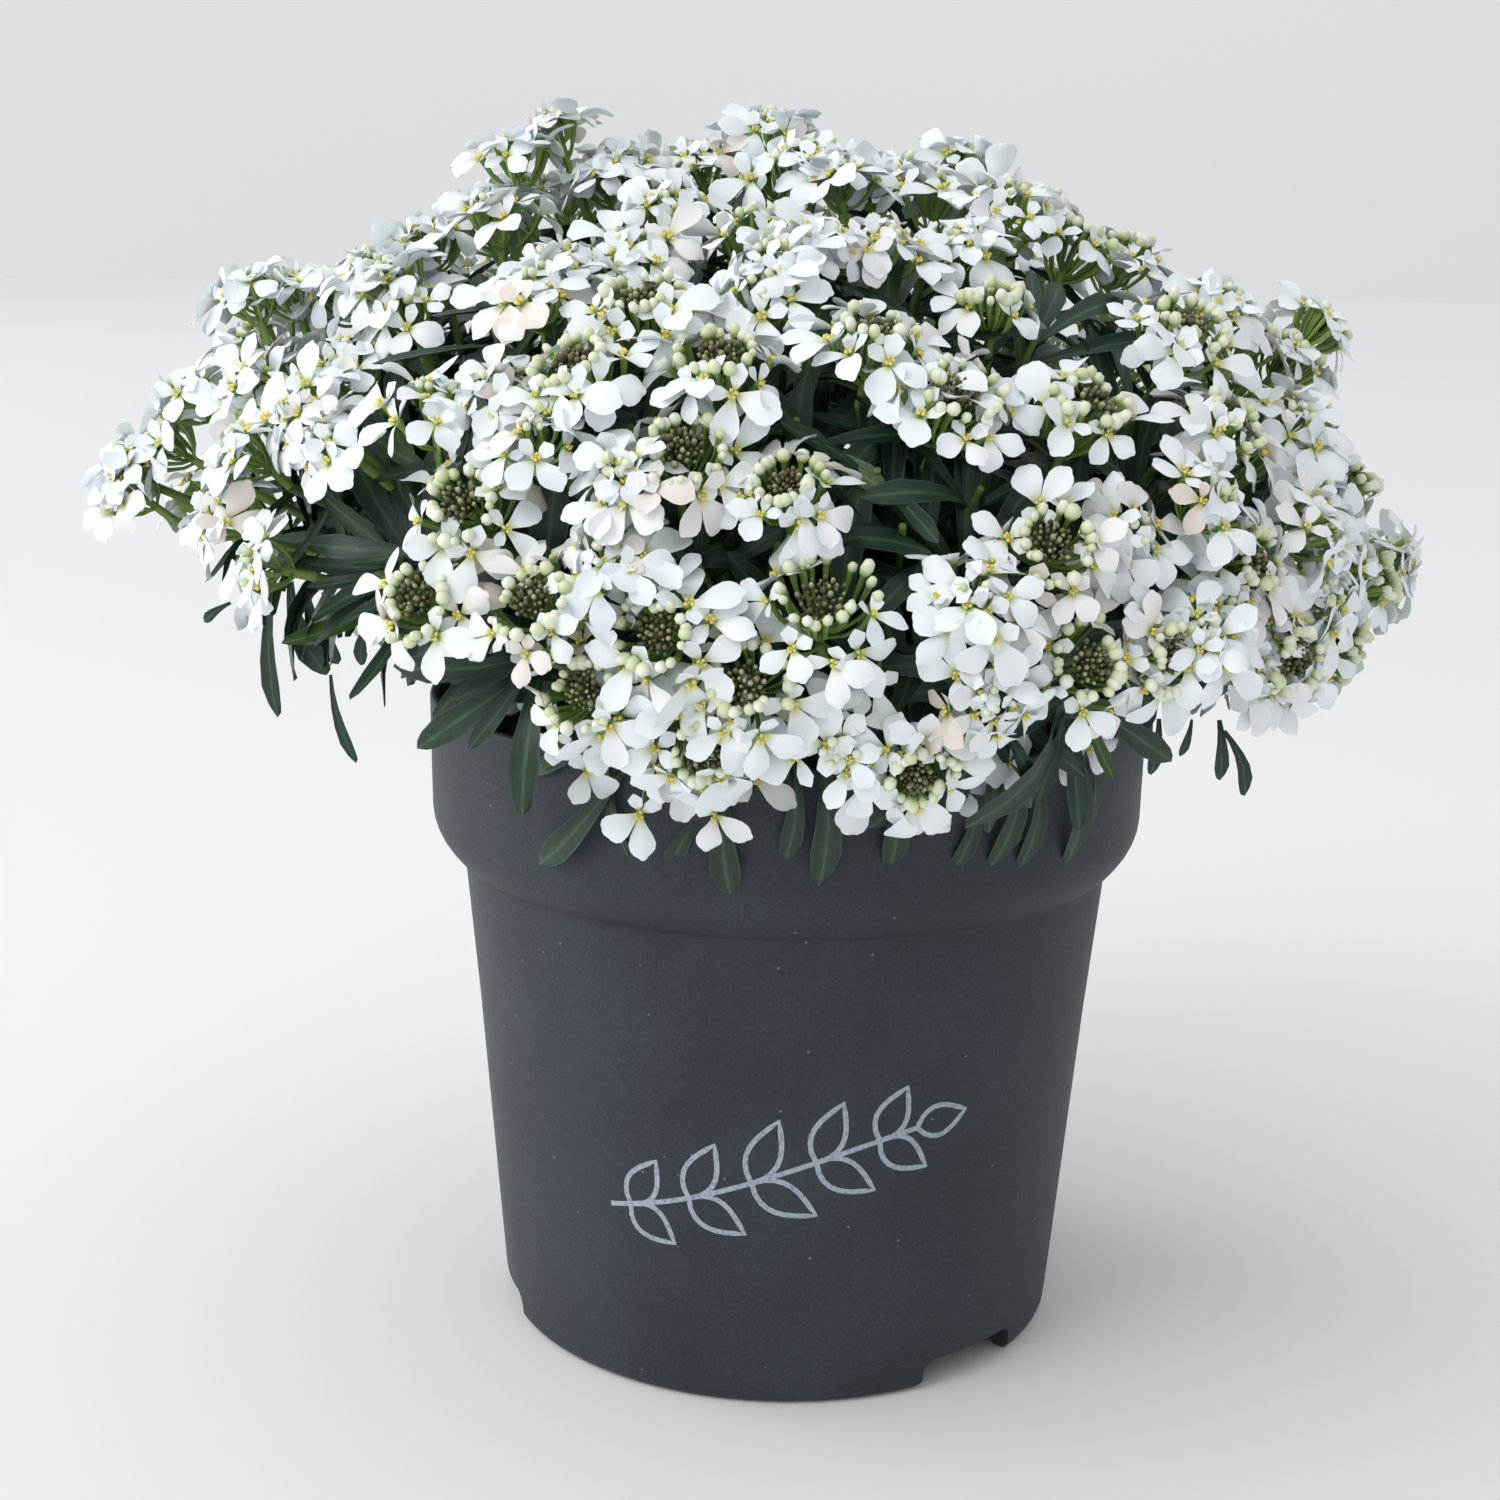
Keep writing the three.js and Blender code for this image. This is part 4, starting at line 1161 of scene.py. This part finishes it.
def hang_leaf(places, root, tip, out, width, chance):
    """A hanging leaf from root to tip, of the form whose width comes nearest."""
    way = tip - root
    wanted = width * LEAF_LENGTH / way.length
    nearest = min(HANGING_LEAVES, key=lambda kind: abs(kind[1] - wanted))
    form = len(GROWING_LEAVES) + HANGING_LEAVES.index(nearest)
    put_leaf(places, root, way, out, way.length, chance.uniform(0, 0.6), chance, form)


def leaf_shade(chance):
    fresh = chance.random() >= 1 - FRESH_LEAVES
    return chance.uniform(0.75, 1) if fresh else chance.random() * 0.72


def leafy_shoot(places, heads, start, end, chance):
    """Leaves in a spiral up a shoot."""
    way = end - start
    length = way.length
    ahead = way.normalized()
    turn = basis(ahead, UP.lerp(Vector((1, 0, 0)), 0.1))
    at = FIRST_LEAF * length
    angle = chance.uniform(0, FULL_TURN)
    while at < length * LAST_LEAF:
        angle += GOLDEN_ANGLE
        out = turn @ way_at(angle)
        lean = chance.uniform(0.35, 0.75)
        toward = (out + ahead * lean).normalized()
        root = start + ahead * at + out * 0.5
        size = chance.uniform(*SHOOT_LEAF_SIZES)
        tip = root + toward * size
        blocked = in_the_way(tip) or in_the_way(root.lerp(tip, 0.6)) or in_a_head(tip, heads)
        if dome_share(tip) < LEAF_REACH and not blocked:
            put_leaf(places, root, toward, ahead - out * 0.3, size, leaf_shade(chance), chance)
        at += LEAF_SPACING * chance.uniform(0.8, 1.2)


def leafy_tip(places, heads, place, chance):
    """A rosette of leaves at the end of a shoot without flowers."""
    axis = facing(place)
    turn = basis(axis, UP.lerp(Vector((1, 0, 0)), 0.1))
    outer_size, inner_size = ROSETTE_SIZES
    for i in range(ROSETTE_LEAVES):
        angle = i * GOLDEN_ANGLE
        inner = i / ROSETTE_LEAVES
        out = turn @ way_at(angle)
        toward = (out + axis * (0.15 + 1.6 * inner**2)).normalized()
        root = place - axis * (ROSETTE_DEPTH * (1 - inner)) + out * 0.6
        size = outer_size + (inner_size - outer_size) * inner + chance.uniform(-2, 2)
        if in_a_head(root + toward * size, heads) or in_a_head(root + toward * (0.6 * size), heads):
            continue
        put_leaf(places, root, toward, axis - out * 0.3, size, leaf_shade(chance), chance)


def make_plant(places, heads):
    chance = random.Random(77)
    forks = make_forks()
    stem_radii = [STEM_RADIUS * share for share in (1, 1, 0.9, 1.5)]
    for fork in forks:
        places["wood"].path(stem_path(fork), stem_radii, 0)
    for head in heads:
        fill_head(head, places, chance)
        fork = min(forks, key=lambda f: (f["place"] - head["centre"]).length)
        end = head["centre"] - head["axis"] * (STALK_DROP * head["radius"])
        bow = jitter(chance, SHOOT_BOW) - UP * SHOOT_BOW
        radii = (SHOOT_RADIUS * 1.2, SHOOT_RADIUS)
        places["shoots"].path(bowed(fork["place"], end, bow, 5), radii, chance.uniform(0, 0.5))
        leafy_shoot(places, heads, fork["place"], end, chance)
    for x, z, depth in LEAFY_TIPS:
        place = DOME_MIDDLE.lerp(seen_place(x, z), depth)
        fork = min(forks, key=lambda f: (f["place"] - place).length)
        radii = (SHOOT_RADIUS, SHOOT_RADIUS * 0.7)
        places["shoots"].path(bowed(fork["place"], place, -UP, 4), radii, 0.2)
        leafy_shoot(places, heads, fork["place"], place, chance)
        leafy_tip(places, heads, place, chance)
    for x0, z0, x1, z1, width in RIM_LEAVES:
        root = before_pot(x0, z0, RIM_LEAF_DISTANCE - 3)
        tip = before_pot(x1, z1, RIM_LEAF_DISTANCE + 1)
        out = Vector((root.x, root.y, 0)).normalized()
        hang_leaf(places, root - (tip - root).normalized() * RIM_LEAF_HIDDEN, tip, out, width, chance)
    for x0, z0, x1, z1, width in SIDE_LEAVES:
        root = EYE.lerp(Vector((x0, 0, z0)), SIDE_LEAF_DEPTH)
        tip = EYE.lerp(Vector((x1, 0, z1)), SIDE_LEAF_DEPTH)
        out = Vector((math.copysign(SIDE_LEAF_TURN, x0), -1, 0)).normalized()
        hang_leaf(places, root, tip, out, width, chance)


def loose_flowers(places, heads, chance):
    """The single flowers at the lower edge, each on a stalk from behind."""
    for i, (x, z, turn_deg, size, distance) in enumerate(LOOSE_FLOWERS):
        place = before_pot(x, z, distance)
        turn = math.radians(turn_deg)
        outward = Vector((math.sin(turn), 0, math.cos(turn)))
        toward = (EYE - place).normalized() + outward * 0.35
        toward += jitter(chance, BUD_TILT)
        frame_here = basis(toward, outward)
        group = min(heads, key=lambda head: (head["centre"] - place).length)["group"]
        shade = chance.random()
        places["petals"][group].put(place, frame_here, size, i % FLOWER_FORMS, shade)
        places["anthers"].put(place, frame_here, size, 0, shade)
        root = place - outward * 4 + Vector((0, 7, 3))
        places["stalks"].path(bowed(root, place, UP * -0.6, 3), (0.38, 0.3, 0.7), 0.8)


# Pot


def arc(centre, radius, first_deg, last_deg, steps):
    made = []
    for i in range(steps + 1):
        angle = math.radians(first_deg + (last_deg - first_deg) * i / steps)
        made.append((centre[0] + radius * math.cos(angle), centre[1] + radius * math.sin(angle)))
    return made


def pot_profile():
    """Half the pot's section, from its floor's underside round the outside to the floor's top."""
    ring = FOOT_RADIUS - FOOT_CORNER - FOOT_RING_WIDTH
    return [
        (0.0, FLOOR_Z),
        (ring - 0.6, FLOOR_Z),
        (ring, FLOOR_Z - 0.6),
        (ring, 0.4),
        (ring + 0.4, 0.0),
        *arc((FOOT_RADIUS - FOOT_CORNER, FOOT_CORNER), FOOT_CORNER, -90, 0, 6),
        (52.6, 15.0),
        (54.5, 37.5),
        (56.4, 60.0),
        (CREASE_RADIUS - 0.2, CREASE_Z - 1.4),
        (CREASE_RADIUS - 0.3, CREASE_Z - 0.4),
        (CREASE_RADIUS - 0.1, CREASE_Z),
        (CREASE_RADIUS + 0.6, CREASE_Z + 0.3),
        (CREASE_RADIUS + 1.7, CREASE_Z + 1.2),
        (CREASE_RADIUS + 3.0, CREASE_Z + 2.7),
        (CREASE_RADIUS + 4.1, CREASE_Z + 4.3),
        (CREASE_RADIUS + 4.9, CREASE_Z + 6.0),
        (CREASE_RADIUS + 5.4, CREASE_Z + 7.6),
        (COLLAR_FOOT_RADIUS, COLLAR_FOOT_Z + 0.8),
        (64.85, 105.0),
        *arc((RIM_RADIUS - 0.75, POT_HEIGHT - 0.75), 0.75, 0, 180, 8),
        (RIM_RADIUS - WALL, POT_HEIGHT - 3),
        (COLLAR_FOOT_RADIUS - WALL, COLLAR_FOOT_Z),
        (CREASE_RADIUS - WALL, CREASE_Z + 1),
        (FOOT_RADIUS - WALL + 0.3, FLOOR_Z + FLOOR_THICKNESS + 3),
        (FOOT_RADIUS - WALL - 2, FLOOR_Z + FLOOR_THICKNESS),
        (0.0, FLOOR_Z + FLOOR_THICKNESS),
    ]


def turned(name, profile, sides):
    """A closed turned mesh; the profile starts and ends on the axis."""
    inner = profile[1:-1]
    verts = [(0, 0, profile[0][1])]
    for i in range(sides):
        angle = i / sides * FULL_TURN
        verts += [(r * math.cos(angle), r * math.sin(angle), z) for r, z in inner]
    verts.append((0, 0, profile[-1][1]))
    count = len(inner)
    last = len(verts) - 1
    faces = []
    for i in range(sides):
        a = 1 + i * count
        b = 1 + (i + 1) % sides * count
        faces.append((0, b, a))
        faces += [(a + k, b + k, b + k + 1, a + k + 1) for k in range(count - 1)]
        faces.append((last, a + count - 1, b + count - 1))
    mesh = bpy.data.meshes.new(name)
    mesh.from_pydata([Vector(v) * MM for v in verts], [], faces)
    return mesh


def prism(name, outline, low, high, turn_deg, axis="Y"):
    """A closed straight prism over an outline, for cutting."""
    count = len(outline)
    verts = []
    for depth in (low, high):
        for x, y in outline:
            verts.append(Vector((x, depth, y)) if axis == "Y" else Vector((x, y, depth)))
    spin = Matrix.Rotation(math.radians(turn_deg), 3, "Z")
    mesh = bpy.data.meshes.new(name)
    faces = [tuple(range(count)), tuple(range(2 * count - 1, count - 1, -1))]
    faces += [((i + 1) % count, i, i + count, (i + 1) % count + count) for i in range(count)]
    mesh.from_pydata([spin @ v * MM for v in verts], [], faces)
    cleaned = bmesh.new()
    cleaned.from_mesh(mesh)
    bmesh.ops.recalc_face_normals(cleaned, faces=cleaned.faces)
    cleaned.to_mesh(mesh)
    cleaned.free()
    return mesh_object(name, mesh)


def cut_away(piece, cutters):
    for cutter in cutters:
        cut = piece.modifiers.new("cut", "BOOLEAN")
        cut.operation = "DIFFERENCE"
        cut.solver = "EXACT"
        cut.object = cutter
    graph = bpy.context.evaluated_depsgraph_get()
    result = bpy.data.meshes.new_from_object(piece.evaluated_get(graph), depsgraph=graph)
    piece.modifiers.clear()
    piece.data = result
    for cutter in cutters:
        bpy.data.objects.remove(cutter)


SMOOTH_ANGLE = math.radians(38)


def smoothed(piece):
    """Smooth shading that keeps edges sharper than the smooth angle."""
    piece.data.polygons.foreach_set("use_smooth", [True] * len(piece.data.polygons))
    work = bmesh.new()
    work.from_mesh(piece.data)
    for edge in work.edges:
        edge.smooth = len(edge.link_faces) == 2 and edge.calc_face_angle() < SMOOTH_ANGLE
    work.to_mesh(piece.data)
    work.free()


def make_pot(material):
    pot = mesh_object("nursery_pot", turned("nursery_pot", pot_profile(), POT_SIDES))
    half = NOTCH_WIDTH / 2
    top = NOTCH_HEIGHT - NOTCH_CORNER
    outline = [(-half - 1.5, -1), (-half - 0.4, 0.3), (-half, 1.4), (-half, top)]
    outline += arc((NOTCH_CORNER - half, top), NOTCH_CORNER, 180, 90, 6)
    outline += arc((half - NOTCH_CORNER, top), NOTCH_CORNER, 90, 0, 6)
    outline += [(half, 1.4), (half + 0.4, 0.3), (half + 1.5, -1)]
    cutters = []
    for i in range(FOOT_NOTCHES):
        turn = FIRST_NOTCH_DEG + i * 360 / FOOT_NOTCHES
        cutters.append(prism(f"notch_{i}", outline, -FOOT_RADIUS - 4, -FOOT_RADIUS + 8, turn))
    hole = arc((DRAIN_CIRCLE_RADIUS, 0), DRAIN_HOLE_RADIUS, 0, 345, 23)
    for i in range(DRAIN_HOLES):
        turn = i * 360 / DRAIN_HOLES
        cutters.append(prism(f"drain_{i}", hole, FLOOR_Z - 1, FLOOR_Z + FLOOR_THICKNESS + 1, turn, "Z"))
    cut_away(pot, cutters)
    smoothed(pot)
    pot.data.materials.clear()
    pot.data.materials.append(material)
    return pot


# The plain motif on the pot's front: a leafy sprig in outline.
INK_WIDTH = 0.9
INK_RAISE = 0.06
MOTIF_MIDDLE = (-3.0, 43.0)
SPRIG_HALF_LENGTH = 27
SPRIG_SLOPE = 0.2
SPRIG_LEAF = (12.5, 2.8)
SPRIG_LEAF_PAIRS = 5
BODY_RADIUS_AT_FOOT = 51.334
BODY_SLOPE = 0.0844


def body_point(across, z, raise_by):
    """A place on the pot's front: across is measured round the body from the middle."""
    radius = BODY_RADIUS_AT_FOOT + BODY_SLOPE * z
    angle = across / radius
    out = radius + raise_by
    return Vector((out * math.sin(angle), -out * math.cos(angle), z))


def sprig_strokes():
    """The motif's strokes as lists of (across, z)."""
    middle_x, middle_z = MOTIF_MIDDLE

    def on_stem(t):
        return Vector((t * SPRIG_HALF_LENGTH, 3 * math.sin(1.6 * t) + SPRIG_SLOPE * t * SPRIG_HALF_LENGTH))

    strokes = [[on_stem(i / 10 - 1) for i in range(21)]]
    pairs = [-0.85 + 1.6 * i / (SPRIG_LEAF_PAIRS - 1) for i in range(SPRIG_LEAF_PAIRS)]
    for t, side in [(t, side) for t in pairs for side in (-1, 1)] + [(1.0, 0)]:
        root = on_stem(t)
        ahead = on_stem(t + 0.01) - root
        along = math.atan2(ahead.y, ahead.x) + side * 0.85
        length, half = SPRIG_LEAF
        length *= 1 - 0.22 * abs(t)
        loop = []
        for i in range(17):
            u = i / 8 if i <= 8 else 2 - i / 8
            v = half * math.sin(math.pi * u**0.8) * (1 if i <= 8 else -1)
            loop.append(root + Vector((
                math.cos(along) * u * length - math.sin(along) * v,
                math.sin(along) * u * length + math.cos(along) * v,
            )))
        strokes.append(loop)
    return [[(middle_x + p.x, middle_z + p.y) for p in stroke] for stroke in strokes]


def make_motif(material):
    """Ink a hair's breadth proud of the pot, in closed strips."""
    verts = []
    faces = []
    for stroke in sprig_strokes():
        start = len(verts)
        for i, (x, z) in enumerate(stroke):
            before = Vector(stroke[max(i - 1, 0)])
            after = Vector(stroke[min(i + 1, len(stroke) - 1)])
            way = (after - before).normalized() * (INK_WIDTH / 2)
            for side, height in ((1, -0.1), (1, INK_RAISE), (-1, INK_RAISE), (-1, -0.1)):
                verts.append(body_point(x - way.y * side, z + way.x * side, height) * MM)
        for i in range(len(stroke) - 1):
            a = start + 4 * i
            faces += [(a + k, a + (k + 1) % 4, a + 4 + (k + 1) % 4, a + 4 + k) for k in range(4)]
        last = start + 4 * (len(stroke) - 1)
        faces += [(start + 3, start + 2, start + 1, start), (last, last + 1, last + 2, last + 3)]
    mesh = bpy.data.meshes.new("printed_sprig")
    mesh.from_pydata(verts, [], faces)
    work = bmesh.new()
    work.from_mesh(mesh)
    bmesh.ops.recalc_face_normals(work, faces=work.faces)
    work.to_mesh(mesh)
    work.free()
    mesh.materials.append(material)
    return mesh_object("printed_sprig", mesh)


def make_soil(material):
    inset = WALL + SOIL_GAP
    edge = COLLAR_FOOT_RADIUS - inset
    rise = SOIL_MIDDLE_Z - SOIL_EDGE_Z
    floor = FLOOR_Z + FLOOR_THICKNESS + SOIL_GAP
    profile = [
        (0.0, floor),
        (FOOT_RADIUS - inset - 2.5, floor),
        (CREASE_RADIUS - inset, CREASE_Z + 1),
        (edge, COLLAR_FOOT_Z),
        (edge, SOIL_EDGE_Z),
        *[(r, SOIL_EDGE_Z + rise * (1 - (r / edge) ** 2)) for r in range(60, 0, -3)],
        (0.0, SOIL_MIDDLE_Z),
    ]
    soil = mesh_object("potting_soil", turned("potting_soil", profile, SOIL_SIDES))
    chance = random.Random(3)
    for vertex in soil.data.vertices:
        out = math.hypot(vertex.co.x, vertex.co.y)
        if vertex.co.z > (SOIL_EDGE_Z - 1) * MM and out < 60 * MM:
            vertex.co.z += chance.uniform(-SOIL_BUMP, SOIL_BUMP) * MM
    smoothed(soil)
    soil.data.materials.append(material)
    return soil


# Camera and light, from the fitted view
CAMERA_PLACE = Vector((0, -0.4279, 0.2016))
LENS_MM = 57.16
YAW = math.radians(-0.906)
PITCH = math.radians(12.785)
ROLL = math.radians(1.012)
LIT_PLACE = Vector((0, 0, 0.12))


def make_camera():
    ahead = Vector((math.sin(YAW), math.cos(YAW), -math.tan(PITCH))) * math.cos(PITCH)
    level = Vector((math.cos(YAW), -math.sin(YAW), 0))
    above = level.cross(ahead)
    right = level * math.cos(ROLL) + above * math.sin(ROLL)
    up = above * math.cos(ROLL) - level * math.sin(ROLL)
    data = bpy.data.cameras.new("camera")
    data.lens = LENS_MM
    data.sensor_width = 36
    data.clip_start = 0.01
    data.clip_end = 60
    camera = bpy.data.objects.new("camera", data)
    turn = Matrix((right, up, -ahead)).transposed().to_4x4()
    camera.matrix_world = Matrix.Translation(CAMERA_PLACE) @ turn
    bpy.context.scene.collection.objects.link(camera)
    bpy.context.scene.camera = camera


def soft_light(name, place, size, power, colour):
    data = bpy.data.lights.new(name, "AREA")
    data.shape = "DISK"
    data.size = size
    data.energy = power
    data.color = linear(colour)[:3]
    light = bpy.data.objects.new(name, data)
    turn = (LIT_PLACE - place).to_track_quat("-Z", "Y").to_matrix().to_4x4()
    light.matrix_world = Matrix.Translation(place) @ turn
    bpy.context.scene.collection.objects.link(light)


FLOOR_RADIUS_M = 6
FLOOR_SIDES = 64
SKY_STRENGTH = 0.74
SKY_SIDE = -0.45
SKY_RISE = 0.12


def make_studio():
    bpy.context.scene.view_settings.view_transform = "Standard"
    world = bpy.data.worlds.new("studio")
    world.use_nodes = True
    # Pale light from all round, a little brighter from the left and from above.
    tree = world.node_tree
    sky = tree.nodes["Background"]
    sky.inputs["Color"].default_value = linear("#fbfcff")
    way = add(tree, "ShaderNodeTexCoord").outputs["Generated"]
    parts = add(tree, "ShaderNodeSeparateXYZ", {0: way}).outputs
    side = add(tree, "ShaderNodeMath", {0: parts["X"], 1: 3.0}, operation="POWER").outputs[0]
    level = SKY_STRENGTH
    for part, share in ((side, SKY_SIDE), (parts["Z"], SKY_RISE)):
        brighter = add(tree, "ShaderNodeMath", {
            0: part, 1: share, 2: level,
        }, operation="MULTIPLY_ADD")
        level = brighter.outputs[0]
    tree.links.new(level, sky.inputs["Strength"])
    bpy.context.scene.world = world
    soft_light("key", Vector((-0.8, -0.7, 1.0)), 0.8, 5.5, "#fffdf8")
    soft_light("left_edge", Vector((-4.0, 1.4, 1.0)), 2.8, 64.0, "#f4f8ff")
    verts = [way_at(i / FLOOR_SIDES * FULL_TURN) * FLOOR_RADIUS_M for i in range(FLOOR_SIDES)]
    mesh = bpy.data.meshes.new("floor")
    mesh.from_pydata(verts, [], [tuple(range(FLOOR_SIDES))])
    mesh.materials.append(floor_finish())
    mesh_object("floor", mesh)


PETAL_PIECES = 6


def group_heads(heads):
    """Shares the heads out among the petal pieces by the bloom node each is nearest to, and
    returns each piece's nodes."""
    blooms = sorted(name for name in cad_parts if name.startswith("bloom_"))
    corners = [(name, v.co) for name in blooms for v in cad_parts[name].data.vertices]
    tree = KDTree(len(corners))
    for i, (_, place) in enumerate(corners):
        tree.insert(place, i)
    tree.balance()
    held = {name: 0 for name in blooms}
    for head in heads:
        head["node"] = corners[tree.find(head["centre"] * MM)[1]][0]
        held[head["node"]] += 1

    def direction(name):
        low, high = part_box(name)
        middle = (low + high) / 2
        return math.atan2(middle.y, middle.x)

    groups = [[] for _ in range(PETAL_PIECES)]
    done = 0
    for name in sorted(blooms, key=direction):
        group = min(PETAL_PIECES - 1, done * PETAL_PIECES // len(heads))
        groups[group].append(name)
        done += held[name]
    for head in heads:
        head["group"] = next(i for i, names in enumerate(groups) if head["node"] in names)
    return groups


def hand_over(piece, nodes=()):
    """Hangs a finished piece on the root body, hides the nodes it stands for, and prints its triangles."""
    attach(piece, "root")
    if nodes:
        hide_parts(*nodes)
    print(piece.name, sum(len(p.vertices) - 2 for p in piece.data.polygons), "triangles")


def main():
    make_camera()
    make_studio()
    heads = make_heads()
    groups = group_heads(heads)
    branches = [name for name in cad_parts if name.startswith("leafy_branch_")]
    places = {name: Places() for name in ("anthers", "buds", "clusters", "leaves")}
    places["petals"] = [Places() for _ in groups]
    places.update((name, Paths()) for name in ("stalks", "shoots", "wood"))
    make_plant(places, heads)
    loose_flowers(places, heads, random.Random(12))

    set_out = set_out_tree()
    flowers = collected("flower_forms", flower_forms())
    anthers = collected("anther_forms", anther_forms())
    buds = collected("bud_forms", round_forms("bud_form", BUD_RINGS, BUD_SIDES))
    clusters = collected("cluster_forms", round_forms("cluster_form", CLUSTER_RINGS, CLUSTER_SIDES))
    foliage = collected("leaf_forms", leaf_forms())
    white = petal_finish()
    rows = [
        (f"white_petals_{i + 1}", places["petals"][i], flowers, 0.04, i, white, "petals", names)
        for i, names in enumerate(groups)
    ]
    rows += [
        ("anthers", places["anthers"], anthers, 0.05, 11, anther_finish(), "petals", ()),
        ("pale_buds", places["buds"], buds, 0.1, 12, bud_finish(), "petals", ()),
        ("unopened_buds", places["clusters"], clusters, 0.1, 13, cluster_finish(), "leaves", ()),
        ("leaves", places["leaves"], foliage, 0.08, 14, leaf_finish(), "leaves", branches),
    ]
    for name, spots, forms, spread, seed, material, slot, nodes in rows:
        values = {"Forms": forms, "Size": 1.0, "Size spread": spread, "Seed": seed, "Material": material}
        hand_over(grown(name, spots.mesh(name + "_places"), set_out, values), nodes)

    round_stalks = stalk_tree()
    green = stalk_finish()
    for name, paths, sides, material, nodes in (
        ("flower_stalks", places["stalks"], 3, green, ()),
        ("leafy_shoots", places["shoots"], 6, green, ()),
        ("woody_stems", places["wood"], 10, wood_finish(), branches),
    ):
        values = {"Sides": sides, "Thickness": 1.0, "Material": material}
        hand_over(grown(name, paths.mesh(name + "_paths"), round_stalks, values), nodes)

    hand_over(make_pot(pot_finish()), ["pot"])
    hand_over(make_motif(ink_finish()))
    hand_over(make_soil(soil_finish()), ["soil"])


main()
